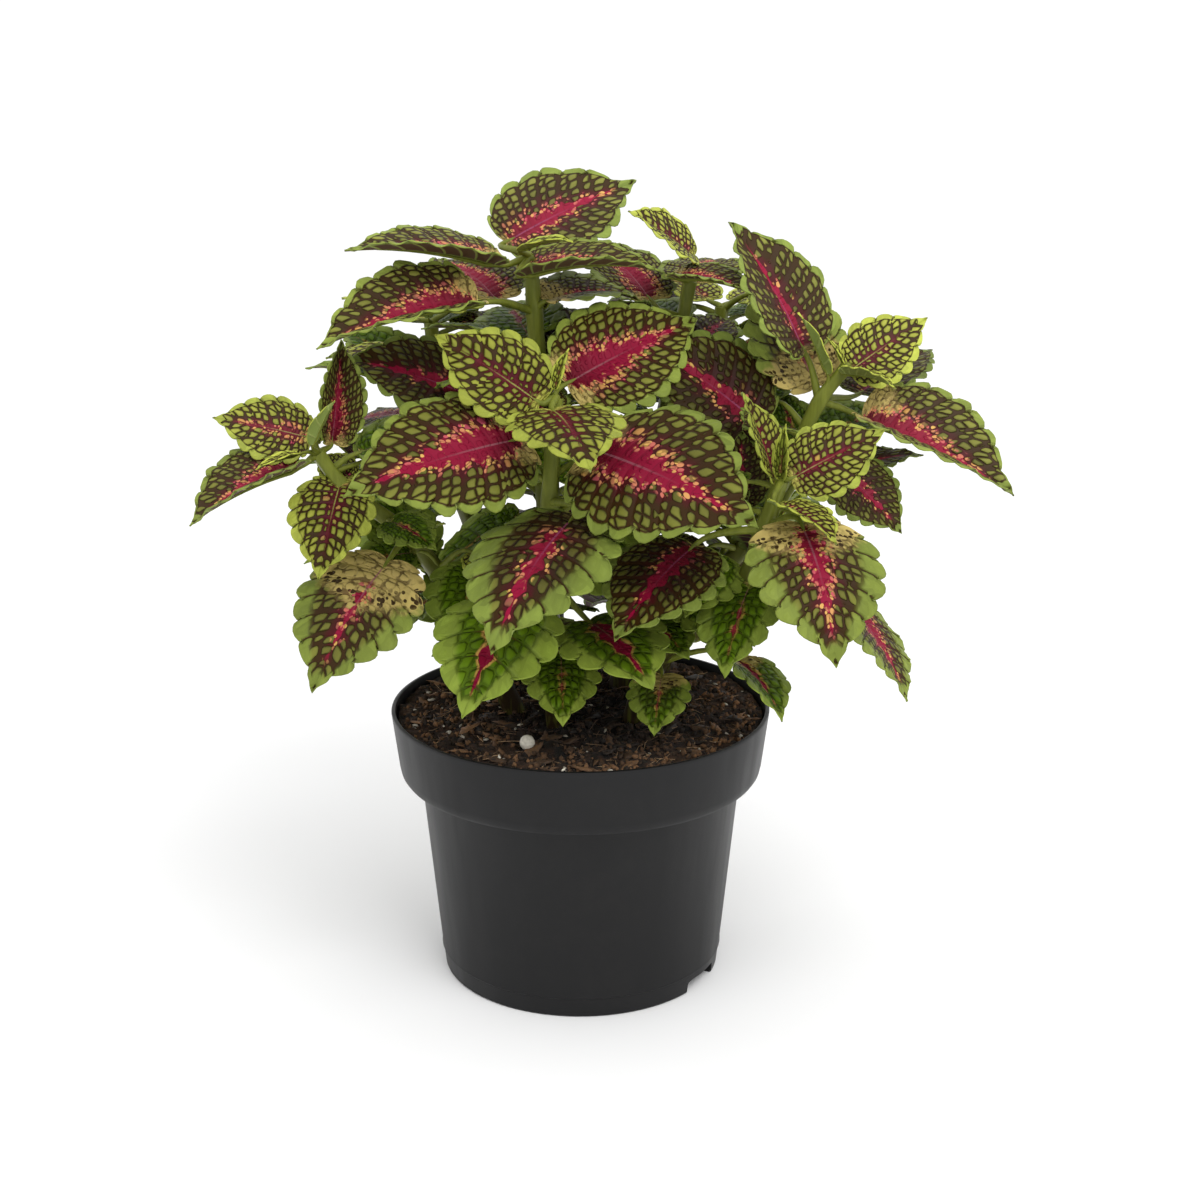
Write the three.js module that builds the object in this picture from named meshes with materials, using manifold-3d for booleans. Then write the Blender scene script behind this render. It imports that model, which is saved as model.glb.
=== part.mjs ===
// Coleus in a round nursery pot: eight leafy stems stand in plain holes in the potting mix,
// and each carries opposite pairs of scalloped, folded, drooping leaves on thin stalks.
// Millimetres, +Z up. The origin is on the pot's axis, under the flat pad that it rests on.

import * as THREE from 'three';
import { mergeVertices } from 'three/addons/utils/BufferGeometryUtils.js';
import Module from 'manifold-3d';

const wasm = await Module();
wasm.setup();

// Driving dimensions

const GAP = 0.3;                 // clearance between pieces that touch
const SEGMENTS = 36;             // sides of the turned pieces

const POT_HEIGHT = 94.5;
const RIM_RADIUS = 65;
const FOOT_RADIUS = 48.3;
const WALL = 1.4;
const BAND_BOTTOM = 71;          // height at which the rim band steps out from the body
const BAND_FOOT_RADIUS = 62.6;   // the band's radius just above its rounded lower edge
const BAND_ROUND = 4;            // height of that rounded edge
const BODY_TOP_RADIUS = 55.4;    // the body's radius just under the band
const HEEL = 7;                  // height of the heel line round the foot
const HEEL_STEP = 0.4;           // how far the wall steps out at that line
const DRAIN_RISE = 5;            // height of the drain channel under the floor
const FLOOR = 1.6;
const PAD_RADIUS = 14;           // the flat pad in the middle of the underside
const FOOT_RING = 5;             // width of the ring that the pot stands on
const DRAIN_HOLES = 8;
const DRAIN_HOLE_RADIUS = 3.6;
const DRAIN_CIRCLE = 31;
const NOTCH_WIDTH = 18;          // the two notches in the foot let water out
const NOTCH_HEIGHT = 4.5;
const NOTCH_CORNER = 1.5;
const NOTCH_AZIMUTHS = [-30, 150];

const MIX_LEVEL = 91.5;          // potting mix at the wall
const MIX_CROWN = 2;             // how much higher it lies in the middle
const MIX_LUMP = 0.66;           // height of its lumps
const MIX_RINGS = 6;

const BEAD_RADIUS = 2.6;
const BEAD_PLACE = [-17, -40];

const STEM_SIDES = 4;            // coleus stems are square
const STEM_FOOT_RADIUS = 4.4;    // corner radius at the root end
const STEM_TOP_RADIUS = 2.4;
const STALK_RADIUS = 1.5;
const STALK_TIP_RADIUS = 0.8;
const LONG_STALK = 12;           // a longer stalk than this is curved
const STALK_LIFT = 0.08;         // how far it rises, in its own length
const BLADE_THICKNESS = 0.7;

// A blade's outline in its own length: places along it run from 0 at the stalk to 1 at the tip.
const LOBE_START = 0.04;
const LOBE_END = 0.86;
const LOBE_CROWN = 0.58;         // where each lobe stands out most
const LOBE_DEPTH = 0.17;
const BELLY = 0.8;               // under 1, this sets the widest place nearer the stalk
const TAPER = 0.2;               // how much the blade narrows towards its tip
const POINT = 0.42;              // how sharply it narrows at the very tip
const VEIN_SWEEP = 1.9;          // how far the base corners reach back beside the stalk
const EDGE_CURL = 0.16;          // the halves arch over towards the edge
const LOOKS = {
  tip: { width: 0.457, lobes: 3, ribs: 2 },
  young: { width: 0.832, lobes: 6, ribs: 3 },
  ripe: { width: 0.873, lobes: 8, ribs: 3 },
  dark: { width: 0.873, lobes: 7, ribs: 3 },
  green: { width: 0.893, lobes: 5, ribs: 3 },
  cream: { width: 0.893, lobes: 7, ribs: 3 },
};

// Each stem: its name, the points it grows through, and its leaves. The points after the
// first are the nodes. A leaf is its node, the start and tip of its blade, its roll about
// that line, the arch of its midrib and the fold of its halves in degrees, and its look.
const LEAFY_STEMS = [
  ['top', [[-8, 12, 60], [-10, 13, 130], [-12, 13, 170], [-13, 12, 198], [-15, 10, 228], [-16, 10, 246]], [
    [5, [-26, 6, 244], [-75, -6, 250], -3, 22, 24, 'ripe'],
    [5, [-19, 2, 241], [26, 0, 243], 4, 30, 26, 'ripe'],
    [5, [-25, 28, 249], [19, 49, 267], 34, 16, 12, 'dark'],
    [5, [-19, 4, 249], [-2, -6, 253], 10, 30, 30, 'tip'],
    [4, [-33, -6, 233], [-83, -22, 221], -18, 24, 34, 'ripe'],
    [4, [-11, 8, 232], [20, 24, 230], 10, 40, 20, 'cream'],
    [4, [-28, 24, 230], [-50, 58, 239], 0, 30, 20, 'ripe'],
    [3, [-35, -2, 202], [-76, -10, 216], -38, 20, 12, 'dark'],
    [2, [-14, 34, 172], [-14, 78, 158], 0, 30, 10, 'dark'],
  ]],
  ['front', [
    [-6, -8, 60], [-9, -26, 120], [-10, -38, 150], [-9, -40, 176], [-8, -38, 196], [-7, -36, 208],
  ], [
    [5, [-7, -36, 211], [-3, -32, 223], 0, 20, 30, 'tip'],
    [5, [-12, -38, 207], [-45, -30, 227], -48, 16, 12, 'young'],
    [5, [-8, -44, 206], [4, -86, 196], 4, 36, 6, 'young'],
    [4, [-18, -44, 197], [-70, -70, 185], -34, 20, 10, 'ripe'],
    [4, [5, -46, 194], [53, -84, 179], 36, 22, 8, 'ripe'],
    [4, [-4, -16, 209], [39, 8, 226], 40, 16, 10, 'ripe'],
    [3, [-1, -58, 176], [-25, -100, 145], 0, 36, 6, 'dark'],
    [3, [-1, -30, 162], [22, -46, 144], 30, 30, 10, 'green'],
    [2, [-19, -44, 145], [-35, -80, 118], -6, 35, 8, 'green'],
    [2, [3, -38, 136], [23, -74, 125], 8, 35, 8, 'green'],
    [2, [-32, -24, 150], [-39, -52, 128], -10, 30, 10, 'green'],
    [1, [-6, -35, 124], [-5, -60, 108], 0, 30, 10, 'green'],
  ]],
  ['left', [
    [-10, 2, 60], [-29, -9, 110], [-42, -14, 137], [-56, -18, 159], [-76, -21, 176], [-84, -21, 187],
  ], [
    [5, [-87, -19, 192], [-117, -22, 199], -50, 14, 8, 'young'],
    [5, [-89, -26, 184], [-121, -48, 170], -4, 24, 34, 'ripe'],
    [5, [-80, -17, 190], [-77, -8, 222], 40, 16, 56, 'ripe'],
    [5, [-84, -29, 192], [-76, -35, 207], 0, 20, 30, 'tip'],
    [5, [-89, -31, 189], [-101, -40, 186], 0, 20, 30, 'tip'],
    [4, [-77, -22, 178], [-82, -46, 152], -10, 30, 14, 'young'],
    [4, [-74, -18, 178], [-86, -8, 183], -30, 30, 14, 'young'],
    [3, [-61, -26, 166], [-45, -40, 160], 20, 30, 12, 'green'],
    [3, [-61, -34, 155], [-83, -62, 120], -14, 36, 8, 'cream'],
    [2, [-51, -14, 150], [-70, 2, 166], -30, 20, 12, 'green'],
  ]],
  ['right', [[14, 6, 60], [34, 4, 122], [60, 4, 156], [71, 2, 180], [79, 0, 200], [88, 0, 212]], [
    [4, [74, 4, 216], [49, 16, 257], -18, 20, 22, 'dark'],
    [4, [93, -2, 195], [140, -24, 174], 16, 16, 36, 'ripe'],
    [5, [89, 2, 210], [115, 10, 226], 48, 12, 6, 'young'],
    [5, [86, -4, 210], [102, -14, 207], -14, 34, 24, 'young'],
    [5, [87, 0, 212], [81, 2, 221], 0, 14, 30, 'tip'],
    [4, [81, -2, 210], [71, -4, 230], 0, 10, 30, 'tip'],
    [4, [79, 12, 203], [59, 30, 240], -20, 16, 14, 'cream'],
    [4, [94, 14, 200], [122, 38, 211], 4, 20, 14, 'dark'],
    [3, [60, 0, 192], [20, 2, 221], -54, 20, 10, 'dark'],
    [3, [72, 8, 186], [68, 24, 199], -10, 20, 12, 'green'],
  ]],
  ['side', [[12, -8, 60], [25, -21, 116], [50, -40, 144], [58, -44, 168], [63, -45, 184]], [
    [4, [66, -47, 185], [95, -42, 199], 48, 12, 8, 'young'],
    [4, [61, -45, 183], [51, -32, 209], 20, 14, 24, 'young'],
    [4, [63, -47, 185], [64, -46, 202], 0, 10, 30, 'tip'],
    [4, [61, -58, 179], [77, -77, 172], -10, 34, 24, 'young'],
    [3, [68, -60, 174], [76, -94, 139], 0, 50, 4, 'cream'],
    [3, [83, -22, 183], [103, -34, 164], 34, 24, 10, 'dark'],
    [3, [36, -46, 163], [11, -78, 142], -10, 30, 8, 'dark'],
    [3, [51, -30, 172], [53, -14, 193], 0, 20, 10, 'dark'],
    [2, [83, -54, 148], [100, -78, 123], -24, 24, 10, 'ripe'],
    [2, [36, -24, 141], [56, -46, 130], 20, 30, 10, 'green'],
    [2, [43, -34, 157], [33, -60, 144], -20, 30, 10, 'green'],
    [1, [50, -38, 123], [64, -58, 109], -15, 40, 20, 'green'],
    [1, [27, -30, 115], [24, -50, 101], 0, 30, 10, 'green'],
    [1, [20, -26, 133], [35, -50, 127], 10, 30, 10, 'green'],
  ]],
  ['peak', [[10, 20, 60], [18, 22, 130], [27, 24, 180], [33, 25, 214], [37, 26, 236]], [
    [4, [38, 22, 245], [16, 12, 261], -35, 12, 20, 'young'],
    [4, [31, 13, 239], [58, 2, 234], 4, 34, 24, 'ripe'],
    [4, [39, 30, 235], [48, 66, 238], 0, 30, 10, 'ripe'],
    [3, [24, 40, 228], [2, 70, 244], 0, 30, 14, 'ripe'],
    [2, [46, 30, 186], [94, 32, 176], 0, 30, 10, 'dark'],
  ]],
  ['back', [[-16, 22, 60], [-30, 40, 120], [-42, 54, 152], [-50, 62, 180], [-53, 65, 202], [-54, 66, 216]], [
    [5, [-58, 66, 217], [-88, 84, 222], 0, 24, 10, 'young'],
    [5, [-48, 71, 219], [-27, 96, 227], 0, 24, 10, 'young'],
    [4, [-62, 58, 203], [-90, 50, 206], -10, 26, 12, 'ripe'],
    [4, [-48, 76, 203], [-30, 112, 192], 0, 30, 8, 'ripe'],
    [3, [-62, 70, 182], [-108, 82, 166], 0, 30, 8, 'ripe'],
    [3, [-42, 74, 180], [-14, 112, 160], 0, 30, 8, 'dark'],
    [2, [-48, 66, 154], [-68, 108, 132], 0, 34, 8, 'dark'],
    [2, [-52, 46, 153], [-98, 30, 136], 0, 34, 8, 'green'],
    [1, [-38, 52, 122], [-60, 84, 106], 0, 34, 8, 'green'],
    [1, [-40, 32, 124], [-80, 18, 112], 0, 34, 8, 'green'],
  ]],
  ['rear', [[18, 26, 60], [28, 46, 120], [38, 60, 154], [46, 70, 184], [50, 75, 206], [51, 76, 220]], [
    [5, [56, 77, 222], [86, 90, 228], 0, 24, 10, 'young'],
    [5, [46, 80, 222], [26, 104, 230], 0, 24, 10, 'young'],
    [4, [46, 86, 206], [26, 124, 194], 0, 30, 8, 'ripe'],
    [4, [58, 68, 207], [90, 44, 212], 10, 26, 12, 'ripe'],
    [3, [58, 76, 185], [108, 86, 170], 0, 30, 8, 'ripe'],
    [3, [36, 74, 186], [0, 102, 178], 0, 30, 8, 'dark'],
    [2, [43, 78, 156], [56, 118, 134], 0, 34, 8, 'dark'],
    [2, [48, 54, 156], [98, 42, 142], 0, 34, 8, 'green'],
    [1, [26, 58, 122], [14, 96, 104], 0, 34, 8, 'green'],
    [1, [40, 42, 124], [80, 34, 112], 0, 34, 8, 'green'],
  ]],
];

// Helpers: three.js geometry to solid and back

const vector = ([x, y, z]) => new THREE.Vector3(x, y, z);
const radians = THREE.MathUtils.degToRad;

function toSolid(geometry) {
  const bare = geometry.clone();
  bare.deleteAttribute('normal');
  bare.deleteAttribute('uv');
  const merged = mergeVertices(bare, 1e-5);
  return new wasm.Manifold(new wasm.Mesh({
    numProp: 3,
    vertProperties: new Float32Array(merged.attributes.position.array),
    triVerts: new Uint32Array(merged.index.array),
  }));
}

function toGeometry(solid) {
  const mesh = solid.getMesh();
  const geometry = new THREE.BufferGeometry();
  geometry.setAttribute('position', new THREE.BufferAttribute(mesh.vertProperties, 3));
  geometry.setIndex(new THREE.BufferAttribute(mesh.triVerts, 1));
  const flat = geometry.toNonIndexed();
  flat.computeVertexNormals();
  return flat;
}

function piece(name, solid, colour, roughness) {
  const material = new THREE.MeshStandardMaterial({ color: colour, roughness, metalness: 0 });
  const mesh = new THREE.Mesh(toGeometry(solid), material);
  mesh.name = name;
  return mesh;
}

// A turned solid: the profile is [radius, height] from the axis round and back to the axis.
function turned(profile) {
  const points = profile.map(([radius, height]) => new THREE.Vector2(radius, height));
  const geometry = new THREE.LatheGeometry(points, SEGMENTS);
  geometry.rotateX(Math.PI / 2);
  return geometry;
}

function insideOut(geometry) {
  const index = geometry.index.array;
  for (let i = 0; i < index.length; i += 3) {
    [index[i], index[i + 1]] = [index[i + 1], index[i]];
  }
  return geometry;
}

// Pot

// The outer wall's radius at a height below the rim band.
const bodyRadius = (height) => THREE.MathUtils.lerp(FOOT_RADIUS, BODY_TOP_RADIUS, height / BAND_BOTTOM);

// The inner face of floor and wall, moved inwards by a clearance, from the axis up to a height.
function innerFace(clearance, top) {
  const floorTop = DRAIN_RISE + FLOOR + clearance;
  const wall = WALL + clearance;
  const bandTop = BAND_BOTTOM + BAND_ROUND;
  const topRadius = THREE.MathUtils.mapLinear(top, bandTop, POT_HEIGHT, BAND_FOOT_RADIUS, RIM_RADIUS);
  return [
    [0, FLOOR + clearance],
    [PAD_RADIUS - FLOOR - clearance, FLOOR + clearance],
    [PAD_RADIUS - clearance / 2, floorTop],
    [bodyRadius(floorTop) - wall, floorTop],
    [bodyRadius(BAND_BOTTOM) - wall, BAND_BOTTOM + clearance],
    [BAND_FOOT_RADIUS - 1.8 - wall, BAND_BOTTOM + 1.2 + clearance],
    [BAND_FOOT_RADIUS - wall, bandTop + clearance],
    [topRadius - wall, top],
  ];
}

function makePot() {
  const ringInner = FOOT_RADIUS - FOOT_RING;
  const outside = [
    [0, 0],
    [PAD_RADIUS, 0],
    [PAD_RADIUS + 1.6, DRAIN_RISE],
    [ringInner - 1, DRAIN_RISE],
    [ringInner, 0],
    [FOOT_RADIUS, 0],
    [bodyRadius(HEEL), HEEL],
    [bodyRadius(HEEL) + HEEL_STEP, HEEL + HEEL_STEP],
    [bodyRadius(BAND_BOTTOM), BAND_BOTTOM - 0.2],
    [BAND_FOOT_RADIUS - 2.6, BAND_BOTTOM + 0.2],
    [BAND_FOOT_RADIUS - 0.8, BAND_BOTTOM + 1.4],
    [BAND_FOOT_RADIUS, BAND_BOTTOM + BAND_ROUND],
    [RIM_RADIUS, POT_HEIGHT - 0.6],
    [RIM_RADIUS - 0.4, POT_HEIGHT],
  ];
  const inside = innerFace(0, POT_HEIGHT).reverse();
  let pot = toSolid(turned([...outside, ...inside]));

  for (let hole = 0; hole < DRAIN_HOLES; hole++) {
    const angle = (hole + 0.5) * 2 * Math.PI / DRAIN_HOLES;
    const drill = new THREE.CylinderGeometry(DRAIN_HOLE_RADIUS, DRAIN_HOLE_RADIUS, 6, 8);
    drill.rotateX(Math.PI / 2);
    drill.translate(DRAIN_CIRCLE * Math.cos(angle), DRAIN_CIRCLE * Math.sin(angle), DRAIN_RISE + 1);
    pot = pot.subtract(toSolid(drill));
  }
  for (const azimuth of NOTCH_AZIMUTHS) {
    const outline = new THREE.Shape([
      new THREE.Vector2(-NOTCH_WIDTH / 2, -1),
      new THREE.Vector2(NOTCH_WIDTH / 2, -1),
      new THREE.Vector2(NOTCH_WIDTH / 2, NOTCH_HEIGHT - NOTCH_CORNER),
      new THREE.Vector2(NOTCH_WIDTH / 2 - NOTCH_CORNER, NOTCH_HEIGHT),
      new THREE.Vector2(NOTCH_CORNER - NOTCH_WIDTH / 2, NOTCH_HEIGHT),
      new THREE.Vector2(-NOTCH_WIDTH / 2, NOTCH_HEIGHT - NOTCH_CORNER),
    ]);
    const cutter = new THREE.ExtrudeGeometry(outline, { depth: 14, bevelEnabled: false });
    cutter.rotateX(Math.PI / 2);
    cutter.translate(0, FOOT_RADIUS + 3, 0);
    cutter.rotateZ(radians(azimuth - 90));
    pot = pot.subtract(toSolid(cutter));
  }
  return pot;
}

// Potting mix, white bead and stems

// The lumpy surface of the potting mix.
function mixHeight(x, y) {
  const radius = Math.hypot(x, y);
  const crown = MIX_CROWN * (1 - (radius / RIM_RADIUS) ** 2);
  const lumps = Math.sin(x * 0.31 + 1.3) * Math.cos(y * 0.27 + 0.4)
    + 0.6 * Math.sin(x * 0.73 - y * 0.58) * Math.cos(y * 0.81 + x * 0.22);
  return MIX_LEVEL + crown + MIX_LUMP * lumps;
}

// A square, tapered stem: a cylinder of four sides, whose rings are set across the stem's curve.
// A clearance makes the tool that cuts its hole.
function stemSolid(points, clearance) {
  const curve = new THREE.CatmullRomCurve3(points.map(vector), false, 'centripetal');
  const steps = 2 * (points.length - 1);
  const cornerClearance = clearance * Math.SQRT2;
  const geometry = new THREE.CylinderGeometry(1, 1, 1, STEM_SIDES, steps);
  const position = geometry.attributes.position;
  const local = new THREE.Vector3();
  for (let i = 0; i < position.count; i++) {
    local.fromBufferAttribute(position, i);
    const along = THREE.MathUtils.clamp(0.5 - local.y, 0, 1);
    const centre = curve.getPoint(along);
    const tangent = curve.getTangent(along);
    const across = new THREE.Vector3(-tangent.z, 0, tangent.x).normalize();
    const other = new THREE.Vector3().crossVectors(across, tangent);
    const radius = THREE.MathUtils.lerp(STEM_FOOT_RADIUS, STEM_TOP_RADIUS, along) + cornerClearance;
    centre.addScaledVector(across, local.x * radius).addScaledVector(other, local.z * radius);
    position.setXYZ(i, centre.x, centre.y, centre.z);
  }
  const solid = toSolid(geometry);
  return solid.volume() > 0 ? solid : toSolid(insideOut(geometry));
}

function makeMix() {
  const wallFace = innerFace(GAP, MIX_LEVEL);
  const edgeRadius = wallFace.at(-1)[0];
  const surface = [];
  for (let ring = 1; ring <= MIX_RINGS; ring++) {
    surface.push([edgeRadius * (1 - ring / MIX_RINGS), MIX_LEVEL]);
  }
  const geometry = turned([...wallFace, ...surface]);
  const position = geometry.attributes.position;
  for (let i = 0; i < position.count; i++) {
    if (position.getZ(i) > MIX_LEVEL - 0.01) {
      position.setZ(i, mixHeight(position.getX(i), position.getY(i)));
    }
  }
  let mix = toSolid(geometry);
  for (const [, points] of LEAFY_STEMS) {
    const deeper = [[points[0][0], points[0][1], points[0][2] - GAP], ...points.slice(1)];
    mix = mix.subtract(stemSolid(deeper, GAP));
  }
  return mix;
}

function makeBead() {
  const [x, y] = BEAD_PLACE;
  const geometry = new THREE.SphereGeometry(BEAD_RADIUS, 10, 7);
  geometry.rotateX(Math.PI / 2);
  geometry.translate(x, y, mixHeight(x, y) + BEAD_RADIUS + GAP);
  return toSolid(geometry);
}

// Leaves

// The blade's own axes: along its midrib's chord, out of its upper face, and to its side.
function bladeFrame(start, tip, roll) {
  const along = tip.clone().sub(start);
  const length = along.length();
  along.normalize();
  const up = new THREE.Vector3(0, 0, 1);
  up.addScaledVector(along, -up.dot(along)).normalize();
  up.applyAxisAngle(along, radians(roll));
  const side = new THREE.Vector3().crossVectors(along, up);
  return { along, up, side, length };
}

// A point of the blade: place is 0 at the stalk and 1 at the tip, half is -1 or 1 at an edge
// and 0 on the midrib, and edge is 1 on a lobe's crown and less in a notch.
function bladePoint(blade, half, place, edge) {
  const { along, up, side, length } = blade.frame;
  const bend = radians(blade.arch);
  const halfWidth = LOOKS[blade.look].width * length / 2;
  const outline = Math.sin(Math.PI * place ** BELLY) * (1 - TAPER * place ** 4 - POINT * place ** 12);
  const across = half === 0 ? 0 : halfWidth * outline * edge;
  const lengthwise = half === 0 ? place : place - VEIN_SWEEP * place * (1 - place) ** 5;
  const angle = bend * (lengthwise - 0.5);
  const radius = length / (2 * Math.sin(bend / 2));
  const point = blade.start.clone()
    .addScaledVector(along, radius * (Math.sin(angle) + Math.sin(bend / 2)))
    .addScaledVector(up, radius * (Math.cos(angle) - Math.cos(bend / 2)));
  const normal = along.clone().multiplyScalar(Math.sin(angle)).addScaledVector(up, Math.cos(angle));
  const fold = radians(blade.fold);
  const rise = across * Math.sin(fold) - EDGE_CURL * across * across / halfWidth;
  point.addScaledVector(side, half * across * Math.cos(fold)).addScaledVector(normal, rise);
  return { point, normal, lengthwise };
}

// One side of the blade: the midrib's points and the scalloped edge's, from stalk to tip.
function bladeRails(blade, half) {
  const { lobes, ribs } = LOOKS[blade.look];
  const midrib = [];
  for (let i = 1; i < ribs; i++) midrib.push(bladePoint(blade, 0, i / ribs, 0));
  const edge = [];
  const lobe = (LOBE_END - LOBE_START) / lobes;
  for (let i = 0; i < lobes; i++) {
    const notch = LOBE_START + i * lobe;
    edge.push(bladePoint(blade, half, notch, 1 - LOBE_DEPTH));
    edge.push(bladePoint(blade, half, notch + LOBE_CROWN * lobe, 1));
  }
  edge.push(bladePoint(blade, half, LOBE_END, 1 - LOBE_DEPTH));
  return { midrib, edge };
}

// The stalk's centre line: it leaves the stem's middle, rises a little, and meets the midrib.
function stalkCurve(node, blade) {
  const slope = bladePoint(blade, 0, 0.05, 0).point.sub(blade.start).normalize();
  const reach = node.distanceTo(blade.start);
  return new THREE.CubicBezierCurve3(
    node,
    node.clone().lerp(blade.start, 0.4).add(new THREE.Vector3(0, 0, STALK_LIFT * reach)),
    blade.start.clone().addScaledVector(slope, -0.35 * reach),
    blade.start,
  );
}

// A leaf as one closed solid. The blade has the same triangles above and below, with a rim
// between them, and its base opens into a four-sided ring from which the stalk runs back.
function makeLeaf(points, [nodeIndex, startPoint, tipPoint, roll, arch, fold, look]) {
  const start = vector(startPoint);
  const blade = { start, arch, fold, look, frame: bladeFrame(start, vector(tipPoint), roll) };
  const vertices = [];
  const faces = [];
  const lower = 1;               // each blade point gives an upper and then a lower vertex
  const addVertex = (point) => vertices.push(...point.toArray()) / 3 - 1;
  const addPair = ({ point, normal, lengthwise }, thickness) => {
    const id = addVertex(point.clone().addScaledVector(normal, thickness / 2));
    addVertex(point.clone().addScaledVector(normal, -thickness / 2));
    return { id, lengthwise };
  };
  const thin = (point) => addPair(point, BLADE_THICKNESS);

  const base = bladePoint(blade, 0, 0, 0);
  const first = addPair(base, 2 * STALK_TIP_RADIUS);
  const tip = thin(bladePoint(blade, 0, 1, 0));
  const midrib = [first, ...bladeRails(blade, 1).midrib.map(thin), tip];
  const ring = [first.id, 0, first.id + lower, 0];
  for (const half of [1, -1]) {
    const edge = [first, ...bladeRails(blade, half).edge.map(thin), tip];
    const face = (a, b, c) => faces.push(...(half > 0 ? [a, b, c] : [a, c, b]));
    const shoulder = addVertex(start.clone().addScaledVector(blade.frame.side, half * STALK_TIP_RADIUS));
    ring[half > 0 ? 1 : 3] = shoulder;

    let m = 0;
    let e = 0;
    while (m < midrib.length - 1 || e < edge.length - 1) {
      const edgeNext = m === midrib.length - 1
        || (e < edge.length - 1 && edge[e + 1].lengthwise < midrib[m + 1].lengthwise);
      const [a, b] = [midrib[m].id, edge[e].id];
      const next = edgeNext ? edge[++e].id : midrib[++m].id;
      if (a === b || a === next || b === next) continue;
      face(a, b, next);
      face(a + lower, next + lower, b + lower);
    }
    const corner = edge[1].id;
    face(shoulder, corner, first.id);
    face(first.id + lower, corner + lower, shoulder);
    face(shoulder, corner + lower, corner);
    for (let i = 1; i < edge.length - 1; i++) {
      const [near, far] = [edge[i].id, edge[i + 1].id];
      face(far, near, near + lower);
      face(far, near + lower, far + lower);
    }
  }

  const node = vector(points[nodeIndex]);
  const curve = stalkCurve(node, blade);
  const steps = node.distanceTo(start) > LONG_STALK ? 4 : 2;
  const side = blade.frame.side.clone();
  let open = ring;
  for (let step = steps - 1; step >= 0; step--) {
    const centre = curve.getPoint(step / steps);
    const tangent = curve.getTangent(step / steps);
    side.addScaledVector(tangent, -side.dot(tangent)).normalize();
    const up = new THREE.Vector3().crossVectors(side, tangent);
    const radius = THREE.MathUtils.lerp(STALK_RADIUS, STALK_TIP_RADIUS, step / steps);
    const next = [[up, 1], [side, 1], [up, -1], [side, -1]]
      .map(([axis, sign]) => addVertex(centre.clone().addScaledVector(axis, sign * radius)));
    for (let i = 0; i < next.length; i++) {
      const j = (i + 1) % next.length;
      faces.push(open[j], open[i], next[i], open[j], next[i], next[j]);
    }
    open = next;
  }
  faces.push(open[0], open[3], open[2], open[0], open[2], open[1]);

  const geometry = new THREE.BufferGeometry();
  geometry.setAttribute('position', new THREE.BufferAttribute(new Float32Array(vertices), 3));
  geometry.setIndex(faces);
  const solid = toSolid(geometry);
  return solid.volume() > 0 ? solid : toSolid(insideOut(geometry));
}

function makeLeafyStem(points, leaves) {
  return leaves.reduce((grown, leaf) => grown.add(makeLeaf(points, leaf)), stemSolid(points, 0));
}

// The whole plant

const coleus = new THREE.Group();
coleus.add(piece('pot', makePot(), 0x3b3d40, 0.45));
coleus.add(piece('potting_mix', makeMix(), 0x2c211a, 0.95));
coleus.add(piece('white_bead', makeBead(), 0xe8e4da, 0.7));
for (const [name, points, leaves] of LEAFY_STEMS) {
  coleus.add(piece(`leafy_stem_${name}`, makeLeafyStem(points, leaves), 0x6f7f35, 0.6));
}

export default coleus;
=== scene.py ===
# A bushy coleus in a round nursery pot, in the order in which it is put together: the pot,
# the potting mix with its crumbs, the leaves, the stems that carry them, then floor and light.
# Named sizes are in millimetres, and MM makes them Blender's metres. A pattern's scale is its
# count to a metre where it lies on Object coordinates: 140 is one in 7 mm, 2600 one in 0.4 mm.

import math
import random

import bpy
import numpy as np
from mathutils import Euler, Matrix, Vector, noise
from mathutils.kdtree import KDTree


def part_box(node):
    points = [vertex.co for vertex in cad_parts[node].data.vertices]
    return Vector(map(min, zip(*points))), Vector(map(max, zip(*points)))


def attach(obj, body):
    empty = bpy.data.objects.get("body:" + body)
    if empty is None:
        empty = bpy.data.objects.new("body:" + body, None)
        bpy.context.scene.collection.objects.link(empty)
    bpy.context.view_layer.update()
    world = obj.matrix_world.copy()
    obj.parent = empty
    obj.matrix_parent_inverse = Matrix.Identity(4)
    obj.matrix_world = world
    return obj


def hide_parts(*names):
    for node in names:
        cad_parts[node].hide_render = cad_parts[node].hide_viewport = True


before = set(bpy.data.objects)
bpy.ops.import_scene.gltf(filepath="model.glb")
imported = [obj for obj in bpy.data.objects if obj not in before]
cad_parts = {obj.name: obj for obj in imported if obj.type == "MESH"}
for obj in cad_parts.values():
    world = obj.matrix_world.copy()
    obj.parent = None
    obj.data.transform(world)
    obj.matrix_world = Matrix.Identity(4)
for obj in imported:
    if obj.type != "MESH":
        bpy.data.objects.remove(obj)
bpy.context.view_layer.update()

MM = 0.001
bpy.ops.object.select_all(action="DESELECT")


# ---------------------------------------------------------------------------------------------
# Pot. One injection-moulded shell of anthracite polypropylene: a tapered body, a rim band that
# steps out at its top, a heel line round the foot, drain holes and two water notches.

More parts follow.
